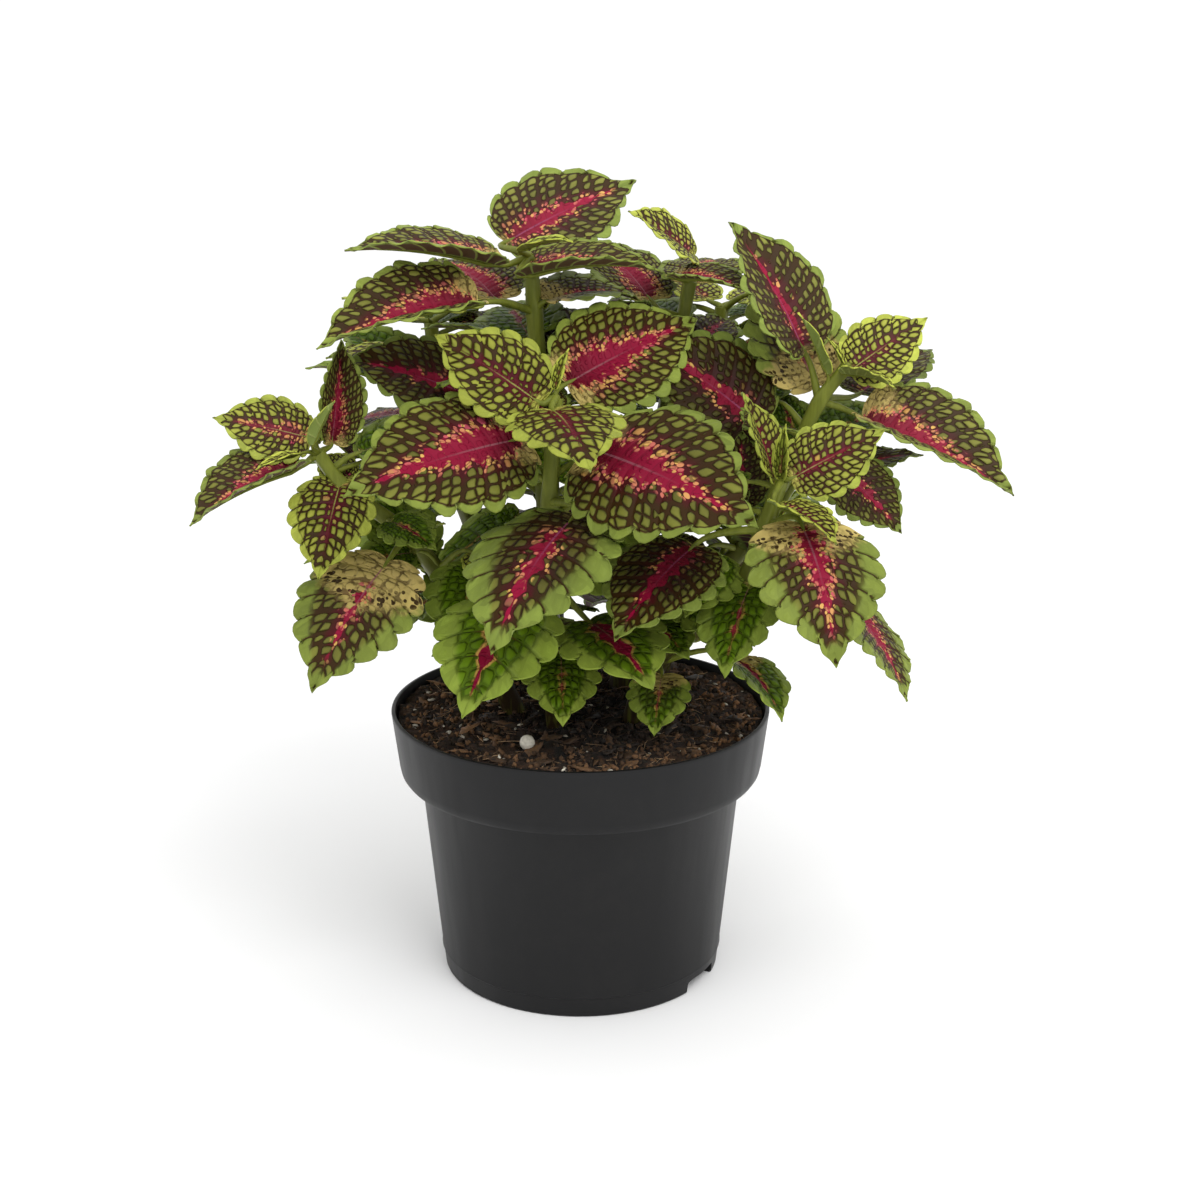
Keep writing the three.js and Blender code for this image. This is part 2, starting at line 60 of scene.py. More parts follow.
POT_SIDES = 128
POT_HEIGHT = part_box("pot")[1].z / MM
RIM_RADIUS = 65.0
FOOT_RADIUS = 48.3
WALL = 1.4
BAND_BOTTOM = 71.0               # height at which the rim band steps out from the body
BAND_FOOT_RADIUS = 62.6          # the band's radius just above its rounded lower edge
BODY_TOP_RADIUS = 55.4           # the body's radius just under the band
HEEL = 7.0                       # height of the heel line round the foot
DRAIN_RISE = 5.0                 # height of the drain channel under the floor
FLOOR = 1.6
PAD_RADIUS = 14.0                # the flat pad in the middle of the underside
FOOT_RING = 5.0                  # width of the ring that the pot stands on
DRAIN_HOLES = 8
DRAIN_HOLE_RADIUS = 3.6
DRAIN_CIRCLE = 31.0
DRAIN_CUT = 6.0                  # length of the cutter that makes a drain hole
NOTCH_WIDTH = 18.0
NOTCH_HEIGHT = 4.5
NOTCH_LENGTH = 14.0              # along the radius, so that it cuts the whole foot ring
NOTCH_INSET = 4.0                # how far its middle lies inside the foot's edge
NOTCH_CORNER = 1.6
NOTCH_AZIMUTHS = (-30, 150)
SHARP_EDGE = math.radians(32)    # steeper edges of the pot stay sharp


def body_radius(height):
    """The outer wall's radius at a height below the band."""
    return FOOT_RADIUS + (BODY_TOP_RADIUS - FOOT_RADIUS) * height / BAND_BOTTOM


def active_piece(name):
    """The object that an operator has just made, named with its mesh."""
    piece = bpy.context.active_object
    piece.name = name
    piece.data.name = name
    return piece


def settle(piece):
    """Moves a finished object's place into its mesh."""
    bpy.ops.object.select_all(action="DESELECT")
    piece.select_set(True)
    bpy.context.view_layer.objects.active = piece
    bpy.ops.object.transform_apply(location=True, rotation=True, scale=True)
    return piece


def apply_modifier(piece, kind, **settings):
    """Adds a modifier to a piece with its settings, and applies it."""
    bpy.context.view_layer.objects.active = piece
    modifier = piece.modifiers.new(kind.lower(), kind)
    for setting, value in settings.items():
        setattr(modifier, setting, value)
    bpy.ops.object.modifier_apply(modifier=modifier.name)


def outside_profile():
    """Radius and height of the outer face from the pad's edge under the pot up to the lip."""
    ring_inner = FOOT_RADIUS - FOOT_RING
    return [
        (PAD_RADIUS + 1.6, DRAIN_RISE),
        (ring_inner - 1, DRAIN_RISE),
        (ring_inner, 0.4),
        (ring_inner + 0.4, 0),
        (FOOT_RADIUS - 0.6, 0),
        (FOOT_RADIUS, 0.6),
        (body_radius(HEEL), HEEL - 0.1),
        (body_radius(HEEL) + 0.4, HEEL + 0.3),
        (body_radius(HEEL) + 0.4, HEEL + 0.8),
        (body_radius(HEEL + 1.4) + 0.15, HEEL + 1.4),
        (body_radius(BAND_BOTTOM - 1.2), BAND_BOTTOM - 1.2),
        (body_radius(BAND_BOTTOM) + 0.3, BAND_BOTTOM - 0.3),
        (BAND_FOOT_RADIUS - 2.8, BAND_BOTTOM + 0.1),
        (BAND_FOOT_RADIUS - 1.4, BAND_BOTTOM + 0.7),
        (BAND_FOOT_RADIUS - 0.5, BAND_BOTTOM + 2.0),
        (BAND_FOOT_RADIUS, BAND_BOTTOM + 4.2),
        (RIM_RADIUS - 0.1, POT_HEIGHT - 1.2),
        (RIM_RADIUS, POT_HEIGHT - 0.5),
        (RIM_RADIUS - 0.15, POT_HEIGHT - 0.12),
        (RIM_RADIUS - 0.5, POT_HEIGHT),
    ]


def inside_profile():
    """Radius and height of the inner face from the lip down to the floor's middle."""
    floor_top = DRAIN_RISE + FLOOR
    return [
        (RIM_RADIUS - WALL + 0.35, POT_HEIGHT),
        (RIM_RADIUS - WALL + 0.05, POT_HEIGHT - 0.2),
        (RIM_RADIUS - WALL - 0.1, POT_HEIGHT - 0.7),
        (BAND_FOOT_RADIUS - WALL, BAND_BOTTOM + 4.4),
        (BAND_FOOT_RADIUS - 1.8 - WALL, BAND_BOTTOM + 1.4),
        (body_radius(BAND_BOTTOM) - WALL, BAND_BOTTOM),
        (body_radius(floor_top) - WALL, floor_top + 0.4),
        (body_radius(floor_top) - WALL - 0.6, floor_top),
        (PAD_RADIUS - 0.1, floor_top),
        (PAD_RADIUS - FLOOR, FLOOR),
    ]


bpy.ops.mesh.primitive_circle_add(
    vertices=POT_SIDES, radius=PAD_RADIUS * MM, fill_type="NGON", location=(0, 0, 0)
)
pot = active_piece("nursery_pot")
bpy.ops.object.mode_set(mode="EDIT")
bpy.ops.mesh.select_mode(type="EDGE")
bpy.ops.mesh.select_all(action="SELECT")
bpy.ops.mesh.region_to_loop()
radius, height = PAD_RADIUS, 0.0
for next_radius, next_height in outside_profile() + inside_profile():
    rise = (next_height - height) * MM
    bpy.ops.mesh.extrude_edges_move(TRANSFORM_OT_translate={"value": (0, 0, rise)})
    ratio = next_radius / radius
    bpy.ops.transform.resize(value=(ratio, ratio, 1), center_override=(0, 0, 0))
    radius, height = next_radius, next_height
bpy.ops.mesh.edge_face_add()
bpy.ops.mesh.select_all(action="SELECT")
bpy.ops.mesh.normals_make_consistent(inside=False)
bpy.ops.object.mode_set(mode="OBJECT")

cutters = []
for hole in range(DRAIN_HOLES):
    angle = (hole + 0.5) * 2 * math.pi / DRAIN_HOLES
    bpy.ops.mesh.primitive_cylinder_add(
        vertices=32,
        radius=DRAIN_HOLE_RADIUS * MM,
        depth=DRAIN_CUT * MM,
        location=(
            DRAIN_CIRCLE * math.cos(angle) * MM,
            DRAIN_CIRCLE * math.sin(angle) * MM,
            (DRAIN_RISE + 1) * MM,
        ),
    )
    cutters.append(bpy.context.active_object)
for azimuth in NOTCH_AZIMUTHS:
    turn = math.radians(azimuth)
    reach = FOOT_RADIUS - NOTCH_INSET
    bpy.ops.mesh.primitive_cube_add(
        size=1,
        location=(reach * math.cos(turn) * MM, reach * math.sin(turn) * MM, 0),
        rotation=(0, 0, turn),
    )
    cutter = bpy.context.active_object
    cutter.scale = (NOTCH_LENGTH * MM, NOTCH_WIDTH * MM, 2 * NOTCH_HEIGHT * MM)
    settle(cutter)
    apply_modifier(cutter, "BEVEL", width=NOTCH_CORNER * MM, segments=4)
    cutters.append(cutter)
for cutter in cutters:
    apply_modifier(pot, "BOOLEAN", operation="DIFFERENCE", solver="EXACT", object=cutter)
    bpy.data.objects.remove(cutter)
settle(pot)
bpy.ops.object.shade_smooth_by_angle(angle=SHARP_EDGE)


def linear(colour):
    """An sRGB hex colour as linear RGBA."""
    channels = [int(colour[i:i + 2], 16) / 255 for i in (1, 3, 5)]
    return [c / 12.92 if c <= 0.04045 else ((c + 0.055) / 1.055) ** 2.4 for c in channels] + [1]


SHORT_KINDS = {
    "blend": ("Mix", {"data_type": "RGBA"}),
    "ease": ("MapRange", {"interpolation_type": "SMOOTHSTEP"}),
}
trees = []                       # the node tree in hand comes last


def new_material(name):
    """An empty node material. Until the next one is begun, add_node adds to its tree."""
    material = bpy.data.materials.new(name)
    material.use_nodes = True
    material.node_tree.nodes.clear()
    trees.append(material.node_tree)
    return material


def add_node(kind, *inputs, **named):
    """Adds a node to the tree in hand. A kind in capitals is an arithmetic operation. Inputs come
    in order, or by names that start with a capital, and other names are settings. An input is
    a value, a hex colour, a socket, or a node, which gives its first output."""
    kind, settings = SHORT_KINDS.get(kind, (kind, {}))
    if kind.isupper():
        kind, settings = "Math", {"operation": kind}
    settings = settings | {name: value for name, value in named.items() if name[0].islower()}
    node = trees[-1].nodes.new("ShaderNode" + kind)
    for setting, value in settings.items():
        setattr(node, setting, value)
    filled = list(zip([socket for socket in node.inputs if socket.enabled], inputs))
    for name, value in named.items():
        if name[0].isupper():
            filled.append((node.inputs[name.replace("_", " ")], value))
    for socket, value in filled:
        if isinstance(value, bpy.types.Node):
            value = next(output for output in value.outputs if output.enabled)
        if isinstance(value, bpy.types.NodeSocket):
            trees[-1].links.new(value, socket)
        else:
            socket.default_value = linear(value) if isinstance(value, str) else value
    return node


# Injection-moulded polypropylene, carbon-black grey: a fine sandblasted texture from the mould
# gives a satin sheen, with faint upright flow marks and a little dust from the potting bench.
polypropylene = new_material("moulded_polypropylene")
place = add_node("TexCoord").outputs["Object"]
upright = add_node("Mapping", place, Scale=(1, 1, 0.08))
flow = add_node("TexNoise", upright, Scale=140, Detail=3)
grain = add_node("TexNoise", place, Scale=2600, Detail=2)
dust = add_node("TexNoise", place, Scale=60, Detail=6, Roughness=0.7)
dusty = add_node("MapRange", dust, 0.5, 0.85, 0, 0.3)
colour = add_node("blend", dusty, "#111112", "#22201f")
roughness = add_node("MapRange", flow, 0.3, 0.7, 0.38, 0.5)
mould = add_node("Bump", Height=grain.outputs[0], Strength=0.12, Distance=0.0002)
shader = add_node(
    "BsdfPrincipled", Base_Color=colour, Roughness=roughness, IOR=1.49, Normal=mould,
    Specular_IOR_Level=0.25,
)
add_node("OutputMaterial", Surface=shader)
pot.data.materials.clear()
pot.data.materials.append(polypropylene)

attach(pot, "root")
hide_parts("pot")


# ---------------------------------------------------------------------------------------------
# Potting mix. Dark peat pressed into the pot, its surface lumpy and a little higher in the
# middle, with crumbs of peat, chips of bark, pale root fibres and a few white grains on it.

MIX_LEVEL = 91.5
MIX_CROWN = 2.0
MIX_LUMP = 0.66
MIX_CELLS = 120                  # squares across the surface
MIX_EDGE = 62.6                  # its radius at the wall
MIX_BOTTOM = 76.0                # the modelled mix ends here, out of sight
MIX_TAPER = 0.985                # its lower edge, in shares of the upper one
CRUMB_RELIEF = 1.1
MIX_SHADE_SPOT = (5, -12)                  # painted shade: the mix is darkened round the stems, where the leaves shade it,
MIX_SHADE_RADIUS = 14                 # within this distance,
MIX_LIT_RADIUS = 44                  # and is fully lit beyond this one
MIX_SHADE_TONE = 0.2                  # brightness in the painted shade, in shares of the fully lit mix


def mix_height(x, y):
    """The lumpy surface of the mix, in millimetres."""
    crown = MIX_CROWN * (1 - (math.hypot(x, y) / RIM_RADIUS) ** 2)
    # Broad lumps some 20 mm apart, and smaller ones some 7 mm apart.
    lumps = math.sin(x * 0.31 + 1.3) * math.cos(y * 0.27 + 0.4)
    lumps += 0.6 * math.sin(x * 0.73 - y * 0.58) * math.cos(y * 0.81 + x * 0.22)
    return MIX_LEVEL + crown + MIX_LUMP * lumps


def crumb_height(x, y):
    """The same surface with the relief of its crumbs."""
    coarse = noise.fractal(Vector((x, y, 3)) * 0.22, 0.9, 2.1, 5)
    return mix_height(x, y) + CRUMB_RELIEF * coarse


bpy.ops.mesh.primitive_grid_add(x_subdivisions=MIX_CELLS, y_subdivisions=MIX_CELLS, size=2)
mix = active_piece("peat_surface")
for vertex in mix.data.vertices:
    x, y = vertex.co.x, vertex.co.y
    disc_x = MIX_EDGE * x * math.sqrt(1 - y * y / 2)
    disc_y = MIX_EDGE * y * math.sqrt(1 - x * x / 2)
    vertex.co = Vector((disc_x, disc_y, crumb_height(disc_x, disc_y))) * MM
bpy.ops.object.mode_set(mode="EDIT")
bpy.ops.mesh.select_all(action="SELECT")
bpy.ops.mesh.region_to_loop()
bpy.ops.mesh.extrude_edges_move(TRANSFORM_OT_translate={"value": (0, 0, (MIX_BOTTOM - MIX_LEVEL) * MM)})
bpy.ops.transform.resize(value=(MIX_TAPER, MIX_TAPER, 0), center_override=(0, 0, MIX_BOTTOM * MM))
bpy.ops.mesh.edge_face_add()
bpy.ops.mesh.select_all(action="SELECT")
bpy.ops.mesh.normals_make_consistent(inside=False)
bpy.ops.object.mode_set(mode="OBJECT")
bpy.ops.object.shade_smooth()

# Damp peat: almost black in its hollows, brown where it has dried, with no shine to speak of.
peat = new_material("damp_peat")
place = add_node("TexCoord").outputs["Object"]
clods = add_node("TexNoise", place, Scale=260, Detail=8, Roughness=0.72)
dryness_and_light = add_node("TexNoise", place, Scale=55, Detail=4)
ramp = add_node("MapRange", clods, 0.42, 0.68, 0, 1)
dark = add_node("blend", ramp, "#0e0905", "#4a3120")
patch = add_node("MapRange", dryness_and_light, 0.5, 0.75, 0, 0.45)
colour = add_node("blend", patch, dark, "#5c4028")
# Painted shade: the peat darkens towards the stems, where the leaves above shade it.
shade_spot = (MIX_SHADE_SPOT[0] * MM, MIX_SHADE_SPOT[1] * MM, MIX_LEVEL * MM)
from_shade_spot = add_node("VectorMath", place, shade_spot, operation="DISTANCE")
lit_share = add_node(
    "MapRange", from_shade_spot.outputs["Value"], MIX_SHADE_RADIUS * MM, MIX_LIT_RADIUS * MM, MIX_SHADE_TONE, 1
)
colour = add_node("VectorMath", colour, Scale=lit_share, operation="SCALE")
relief = add_node("Bump", Height=clods.outputs[0], Strength=0.9, Distance=0.0012)
shader = add_node("BsdfPrincipled", Base_Color=colour, Roughness=0.92, Normal=relief)
add_node("OutputMaterial", Surface=shader)
mix.data.materials.append(peat)
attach(mix, "root")
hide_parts("potting_mix")


def loose_material(name, dark_hex, light_hex, roughness):
    """A crumb's or fibre's own finish: each copy takes a tone between two colours."""
    material = new_material(name)
    tone = add_node("Attribute", attribute_name="tone").outputs["Fac"]
    place = add_node("TexCoord").outputs["Object"]
    mottle = add_node("TexNoise", place, Scale=900, Detail=4)
    shade = add_node("MULTIPLY", tone, mottle)
    colour = add_node("blend", shade, dark_hex, light_hex)
    relief = add_node("Bump", Height=mottle.outputs[0], Strength=0.5, Distance=0.0004)
    shader = add_node("BsdfPrincipled", Base_Color=colour, Roughness=roughness, Normal=relief)
    add_node("OutputMaterial", Surface=shader)
    return material


FLAT_LEAN = 0.35                 # how far a flat grain may lean, in radians
GRAIN_TONES = (0.1, 2.2)         # the darkest grain's tone, and how much brighter one may be


def scatter(name, templates, material, count, sizes, seed, sink=0.3, flat=False):
    """Copies of a few templates strewn over the mix by a seeded draw, joined as one piece."""
    draw = random.Random(seed)
    verts, faces, tones = [], [], []
    for _ in range(count):
        shape = draw.choice(templates)
        size = draw.uniform(*sizes)
        reach = (MIX_EDGE - 0.5 - 0.8 * size) * math.sqrt(draw.random())
        turn = draw.uniform(0, 2 * math.pi)
        x, y = reach * math.cos(turn), reach * math.sin(turn)
        lean = FLAT_LEAN if flat else math.pi
        spin = Euler((draw.uniform(-lean, lean), draw.uniform(-lean, lean), draw.uniform(0, 6.28)))
        base = Vector((x, y, crumb_height(x, y) + size * sink))
        start = len(verts)
        matrix = Matrix.Translation(base) @ spin.to_matrix().to_4x4() @ Matrix.Scale(size, 4)
        verts += [(matrix @ v.co) * MM for v in shape.vertices]
        faces += [[start + i for i in p.vertices] for p in shape.polygons]
        # Painted shade: a grain near the stems takes a darker tone, as shade under the leaves.
        dryness_and_light = (math.hypot(x - MIX_SHADE_SPOT[0], y - MIX_SHADE_SPOT[1]) - MIX_SHADE_RADIUS) / (MIX_LIT_RADIUS - MIX_SHADE_RADIUS)
        tone = GRAIN_TONES[0] + GRAIN_TONES[1] * draw.random() ** 2
        tones += [tone * min(1.0, max(MIX_SHADE_TONE, dryness_and_light))] * len(shape.vertices)
    mesh = bpy.data.meshes.new(name)
    mesh.from_pydata(verts, [], faces)
    tone = mesh.attributes.new("tone", "FLOAT", "POINT")
    tone.data.foreach_set("value", tones)
    mesh.materials.append(material)
    mesh.shade_smooth()
    piece = bpy.data.objects.new(name, mesh)
    bpy.context.scene.collection.objects.link(piece)
    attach(piece, "root")
    return piece


GRAIN_GRIT = 2.3                 # bumps to a grain


def grain_template(roughen, stretch, seed, subdivisions=1):
    """One shape of a loose grain: a ball one unit wide, roughened by noise and stretched."""
    bpy.ops.mesh.primitive_ico_sphere_add(subdivisions=subdivisions, radius=0.5)
    piece = bpy.context.active_object
    for vertex in piece.data.vertices:
        push = 1 + roughen * noise.noise(vertex.co * GRAIN_GRIT + Vector((seed, 0, 0)))
        vertex.co = Vector(vertex.co[i] * stretch[i] * push for i in range(3))
    mesh = piece.data
    bpy.data.objects.remove(piece)
    return mesh


crumbs = [grain_template(0.9, (1, 0.8, 0.65), seed) for seed in range(6)]
scatter(
    "peat_crumbs", crumbs, loose_material("peat_crumb", "#0b0704", "#7d5a3a", 0.85),
    2600, (0.7, 2.6), 11, sink=0.12,
)
chips = [grain_template(1.1, (1.25, 0.55, 0.2), seed, subdivisions=2) for seed in range(9, 13)]
scatter(
    "bark_chips", chips, loose_material("bark", "#140d08", "#84603f", 0.7),
    190, (2.5, 6.5), 23, sink=0.08, flat=True,
)


FIBRE_STEPS = 5
FIBRE_THICKNESS = 0.017          # its radius, in shares of its length
FIBRE_BEND = 0.5                 # the most that it turns at a step, in radians
FIBRE_LIFT = (-0.12, 0.16)


def fibre_template(seed):
    """A thin root fibre, bent at random: a three-sided tube one unit long."""
    draw = random.Random(seed)
    curve = bpy.data.curves.new("fibre", "CURVE")
    curve.dimensions = "3D"
    curve.bevel_depth = FIBRE_THICKNESS
    curve.bevel_resolution = 0
    spline = curve.splines.new("POLY")
    spline.points.add(FIBRE_STEPS)
    point = Vector((-0.5, 0, 0))
    heading = 0.0
    for i, place in enumerate(spline.points):
        place.co = (*point, 1)
        heading += draw.uniform(-FIBRE_BEND, FIBRE_BEND)
        step = Vector((math.cos(heading), math.sin(heading), draw.uniform(*FIBRE_LIFT)))
        point = point + step / FIBRE_STEPS
    fibre = bpy.data.objects.new("fibre", curve)
    bpy.context.scene.collection.objects.link(fibre)
    bpy.ops.object.select_all(action="DESELECT")
    fibre.select_set(True)
    bpy.context.view_layer.objects.active = fibre
    bpy.ops.object.convert(target="MESH")
    mesh = fibre.data
    bpy.data.objects.remove(fibre)
    return mesh


scatter(
    "root_fibres", [fibre_template(seed) for seed in range(6)],
    loose_material("peat_fibre", "#38241a", "#c2a078", 0.7),
    560, (3, 9), 37, sink=0.03, flat=True,
)
flakes = [grain_template(0.8, (1, 0.42, 0.35), seed) for seed in range(17, 21)]
scatter(
    "white_grains", flakes, loose_material("perlite", "#a09a8c", "#e4ddcd", 0.8),
    90, (0.7, 2.8), 51, sink=0.3, flat=True,
)


# ---------------------------------------------------------------------------------------------
# White bead. The one large grain at the front: a rough, slightly dented pearl of expanded
# white rock that lies loose on the mix.

BEAD_SEGMENTS = 32
BEAD_DENT = 0.07                 # depth of its dents, in shares of its radius
BEAD_GRIT = 500                  # dents to a metre
BEAD_TONE = 1.4
bead_low, bead_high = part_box("white_bead")
bead_centre = (bead_low + bead_high) / 2
bead_radius = (bead_high.x - bead_low.x) / 2
bpy.ops.mesh.primitive_uv_sphere_add(
    segments=BEAD_SEGMENTS, ring_count=BEAD_SEGMENTS // 2, radius=bead_radius, location=bead_centre
)
bead = active_piece("perlite_bead")
settle(bead)
for vertex in bead.data.vertices:
    out = vertex.co - bead_centre
    dent = noise.fractal(out * BEAD_GRIT, 1.0, 2.0, 3)
    vertex.co = bead_centre + out * (1 - BEAD_DENT * abs(dent))
bpy.ops.object.shade_smooth()
bead.data.materials.append(loose_material("bead_perlite", "#a8a294", "#e6e0d2", 0.75))
tone = bead.data.attributes.new("tone", "FLOAT", "POINT")
tone.data.foreach_set("value", [BEAD_TONE] * len(bead.data.vertices))
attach(bead, "root")
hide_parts("white_bead")


# ---------------------------------------------------------------------------------------------
# Leaf blades. Thin scalloped sheets, folded along the midrib and arched towards the tip, with
# small pads between sunken veins, each of which runs out to a notch between two lobes. A flat
# blade of each look is modelled once, and every copy is bent to its own place on its stem.

BLADE_THICKNESS = 0.42
LOBE_START = 0.04
LOBE_END = 0.86
LOBE_CROWN = 0.58                # where each lobe stands out most
LOBE_DEPTH = 0.17
BELLY = 0.8                      # under 1, this sets the widest place nearer the stalk
TAPER = 0.2                      # how much the blade narrows towards its tip
POINT = 0.42                     # how sharply it narrows at the very tip
VEIN_SWEEP = 1.9                 # how far the base corners reach back beside the stalk
EDGE_CURL = 0.16                 # the halves arch over towards the edge
EDGE_CROWDING = 1.45             # columns of faces crowd towards the edge, where the lobes turn
RIB_CROWDING = 1.7               # veins leave the midrib closer together near the stalk
RIB_BEND = 1.35                  # and curve forwards on their way to the edge
RELIEF_LENGTH = 45               # on a blade of this length,
PAD_RISE = 0.55                  # the pads rise this far between the veins,
MIDRIB_SINK = 0.5                # the midrib is sunk this far,
LOBE_RIPPLE = 0.35               # and each lobe lifts this far at the edge

# Each look: the blade's width in its own length and its lobes a side, and its colouring: the
# crimson flame's width and where it begins, the share of blushing pads beside it, how broad the
# dark net is, how many pads lie across, how much of the edge is plain, shares of lime, pale base
# and dusky veil, and how bright the green is.
LOOKS = {
    "tip": dict(
        width=0.457, lobes=3, crimson=0.25, begin=0.1, blush=0.2, net=0.5, pads=4, plain=0.3, lime=1.0,
        cream=0.1, veil=0.0, tone=1.0,
    ),
    "young": dict(
        width=0.832, lobes=6, crimson=0.35, begin=0.1, blush=0.15, net=0.7, pads=5.4, plain=0.2, lime=0.9,
        cream=0.25, veil=0.0, tone=1.0,
    ),
    "ripe": dict(
        width=0.873, lobes=8, crimson=1.14, begin=0.02, blush=1.1, net=1.0, pads=7.8, plain=0.16, lime=0.1,
        cream=0.52, veil=0.22, tone=1.0,
    ),
    "dark": dict(
        width=0.873, lobes=7, crimson=0.85, begin=0.1, blush=0.4, net=1.15, pads=7, plain=0.16, lime=0.0,
        cream=0.1, veil=0.63, tone=0.9,
    ),
    "green": dict(
        width=0.893, lobes=5, crimson=0.55, begin=0.35, blush=0.7, net=0.3, pads=5.5, plain=0.3, lime=0.25,
        cream=0.1, veil=0.0, tone=0.95,
    ),
    "cream": dict(
        width=0.893, lobes=7, crimson=0.7, begin=0.3, blush=0.6, net=0.8, pads=7, plain=0.3, lime=0.1,
        cream=1.0, veil=0.2, tone=1.0,
    ),
}
TRAITS = (
    "crimson", "begin", "blush", "net", "pads", "plain", "lime", "cream", "veil", "tone", "seed",
)
FINENESS = {"outer": (24, 7), "inner": (12, 4)}          # columns, and rows to a lobe


def outline(place):
    """The blade's half width along it, as a share of its widest."""
    return np.sin(np.pi * place ** BELLY) * (1 - TAPER * place ** 4 - POINT * place ** 12)


def flat_blade(look, place_in_plant):
    """A blade of that look, laid out in its own length: x is across, -1 to 1, and y is along.
    The vein attribute counts the notches, and is whole on each vein."""
    lobes = LOOKS[look]["lobes"]
    columns, lobe_rows = FINENESS[place_in_plant]
    rows = lobe_rows * (lobes + 2)
    bpy.ops.mesh.primitive_grid_add(x_subdivisions=columns, y_subdivisions=rows, size=2)
    piece = active_piece("flat_blade_" + look)
    mesh = piece.data
    across = np.empty(3 * len(mesh.vertices))
    mesh.vertices.foreach_get("co", across)
    across = across.reshape(-1, 3)
    half = np.sign(across[:, 0]) * (1 - (1 - np.abs(across[:, 0])) ** EDGE_CROWDING)
    # Rows are evenly spaced within each lobe, so that a row lies on every notch.
    step = np.rint((across[:, 1] + 1) / 2 * rows)
    base_rows = lobe_rows // 2
    tip_rows = rows - base_rows - lobe_rows * lobes
    vein = (step - base_rows) / lobe_rows
    part = (1 - np.cos(np.pi * np.mod(step - base_rows, lobe_rows) / lobe_rows)) / 2
    within = (vein > 0) & (vein < lobes)
    vein = np.where(within, (step - base_rows) // lobe_rows + part, vein)
    pitch = (LOBE_END - LOBE_START) / lobes
    place = np.where(within, LOBE_START + pitch * vein, np.interp(
        step, [0, base_rows, rows - tip_rows, rows], [0, LOBE_START, LOBE_END, 1]
    ))
    vein = (place - LOBE_START) / pitch
    uv_layer = mesh.uv_layers.active or mesh.uv_layers.new(name="blade")
    uv_layer.name = "blade"
    corner = np.empty(len(mesh.loops), dtype=int)
    mesh.loops.foreach_get("vertex_index", corner)
    uv = np.stack([half[corner] * 0.5 + 0.5, place[corner]], 1)
    uv_layer.data.foreach_set("uv", uv.ravel())
    breadth = outline(place)
    for name, values in (("half", half), ("place", place), ("vein", vein), ("breadth", breadth)):
        mesh.attributes.new(name, "FLOAT", "POINT").data.foreach_set("value", values)
    bpy.data.objects.remove(piece)
    return mesh


def lobe_notch(vein, lobes):
    """0 on a lobe's crown and 1 in its notches, as round as a coin's edge."""
    part = np.mod(vein, 1)
    falling = 1 + (part - LOBE_CROWN) / (1 - LOBE_CROWN)
    eased = np.where(part < LOBE_CROWN, part / LOBE_CROWN, falling) / 2
    within = (vein >= 0) & (vein <= lobes)
    bulge = np.sqrt(np.clip(1 - (2 * eased - 1) ** 2, 0, 1))
    return np.where(within, 1 - bulge, 1)


def smooth(low, high, value):
    """0 below low, 1 above high, and eased between."""
    share = np.clip((value - low) / (high - low), 0, 1)
    return share * share * (3 - 2 * share)


def bend_blade(half, place, vein, leaf):
    """Where the flat blade's points lie on the plant, in metres."""
    look = LOOKS[leaf["look"]]
    start, tip = np.array(leaf["start"], float), np.array(leaf["tip"], float)
    along = tip - start
    length = np.linalg.norm(along)
    along /= length
    up = np.array([0, 0, 1.0]) - along[2] * along
    up /= np.linalg.norm(up)
    roll = math.radians(leaf["roll"])
    up = up * math.cos(roll) + np.cross(along, up) * math.sin(roll)
    side = np.cross(along, up)
    arch, fold = math.radians(leaf["arch"]), math.radians(leaf["fold"])
    widest = look["width"] * length / 2
    out = np.abs(half)

    notch = LOBE_DEPTH / np.maximum(outline(place), 0.4) ** 0.7
    edge = 1 - notch * lobe_notch(vein, look["lobes"]) * out ** 5
    edge += (1 - edge) * smooth(look["lobes"], look["lobes"] + 0.5, vein)
    across = widest * outline(place) * out * edge
    rib = place ** RIB_CROWDING
    margin = place - VEIN_SWEEP * place * (1 - place) ** 5
    lengthwise = rib + (margin - rib) * out ** RIB_BEND
    angle = arch * (lengthwise - 0.5)
    radius = length / (2 * math.sin(arch / 2))
    centre = (
        start
        + np.outer(radius * (np.sin(angle) + math.sin(arch / 2)), along)
        + np.outer(radius * (np.cos(angle) - math.cos(arch / 2)), up)
    )
    normal = np.outer(np.sin(angle), along) + np.outer(np.cos(angle), up)
    rise = across * math.sin(fold) - EDGE_CURL * across ** 2 / widest

    # Relief: a sunken midrib and veins, pads between them, and a wavy edge.
    from_vein = np.abs(np.mod(vein + 0.5, 1) - 0.5)
    inner = smooth(0.02, 0.2, out) * (1 - smooth(0.75, 1.0, out)) * smooth(-0.3, 0.3, vein)
    pads = np.sin(np.pi * np.clip(from_vein * 2, 0, 1) / 2) ** 0.8
    relief = length / RELIEF_LENGTH * (
        PAD_RISE * inner * (pads - 0.6)
        - MIDRIB_SINK * np.exp(-((out / 0.05) ** 2)) * (1 - place)
        + leaf["wave"] * out ** 3 * np.sin(2 * np.pi * vein / 2 + leaf["phase"]) * smooth(0, 1, vein)
        + LOBE_RIPPLE * out ** 4 * np.cos(2 * np.pi * vein)
    )
    rise = rise + relief
    placed = centre + np.outer(np.sign(half) * across * math.cos(fold), side) + normal * rise[:, None]
    return placed * MM


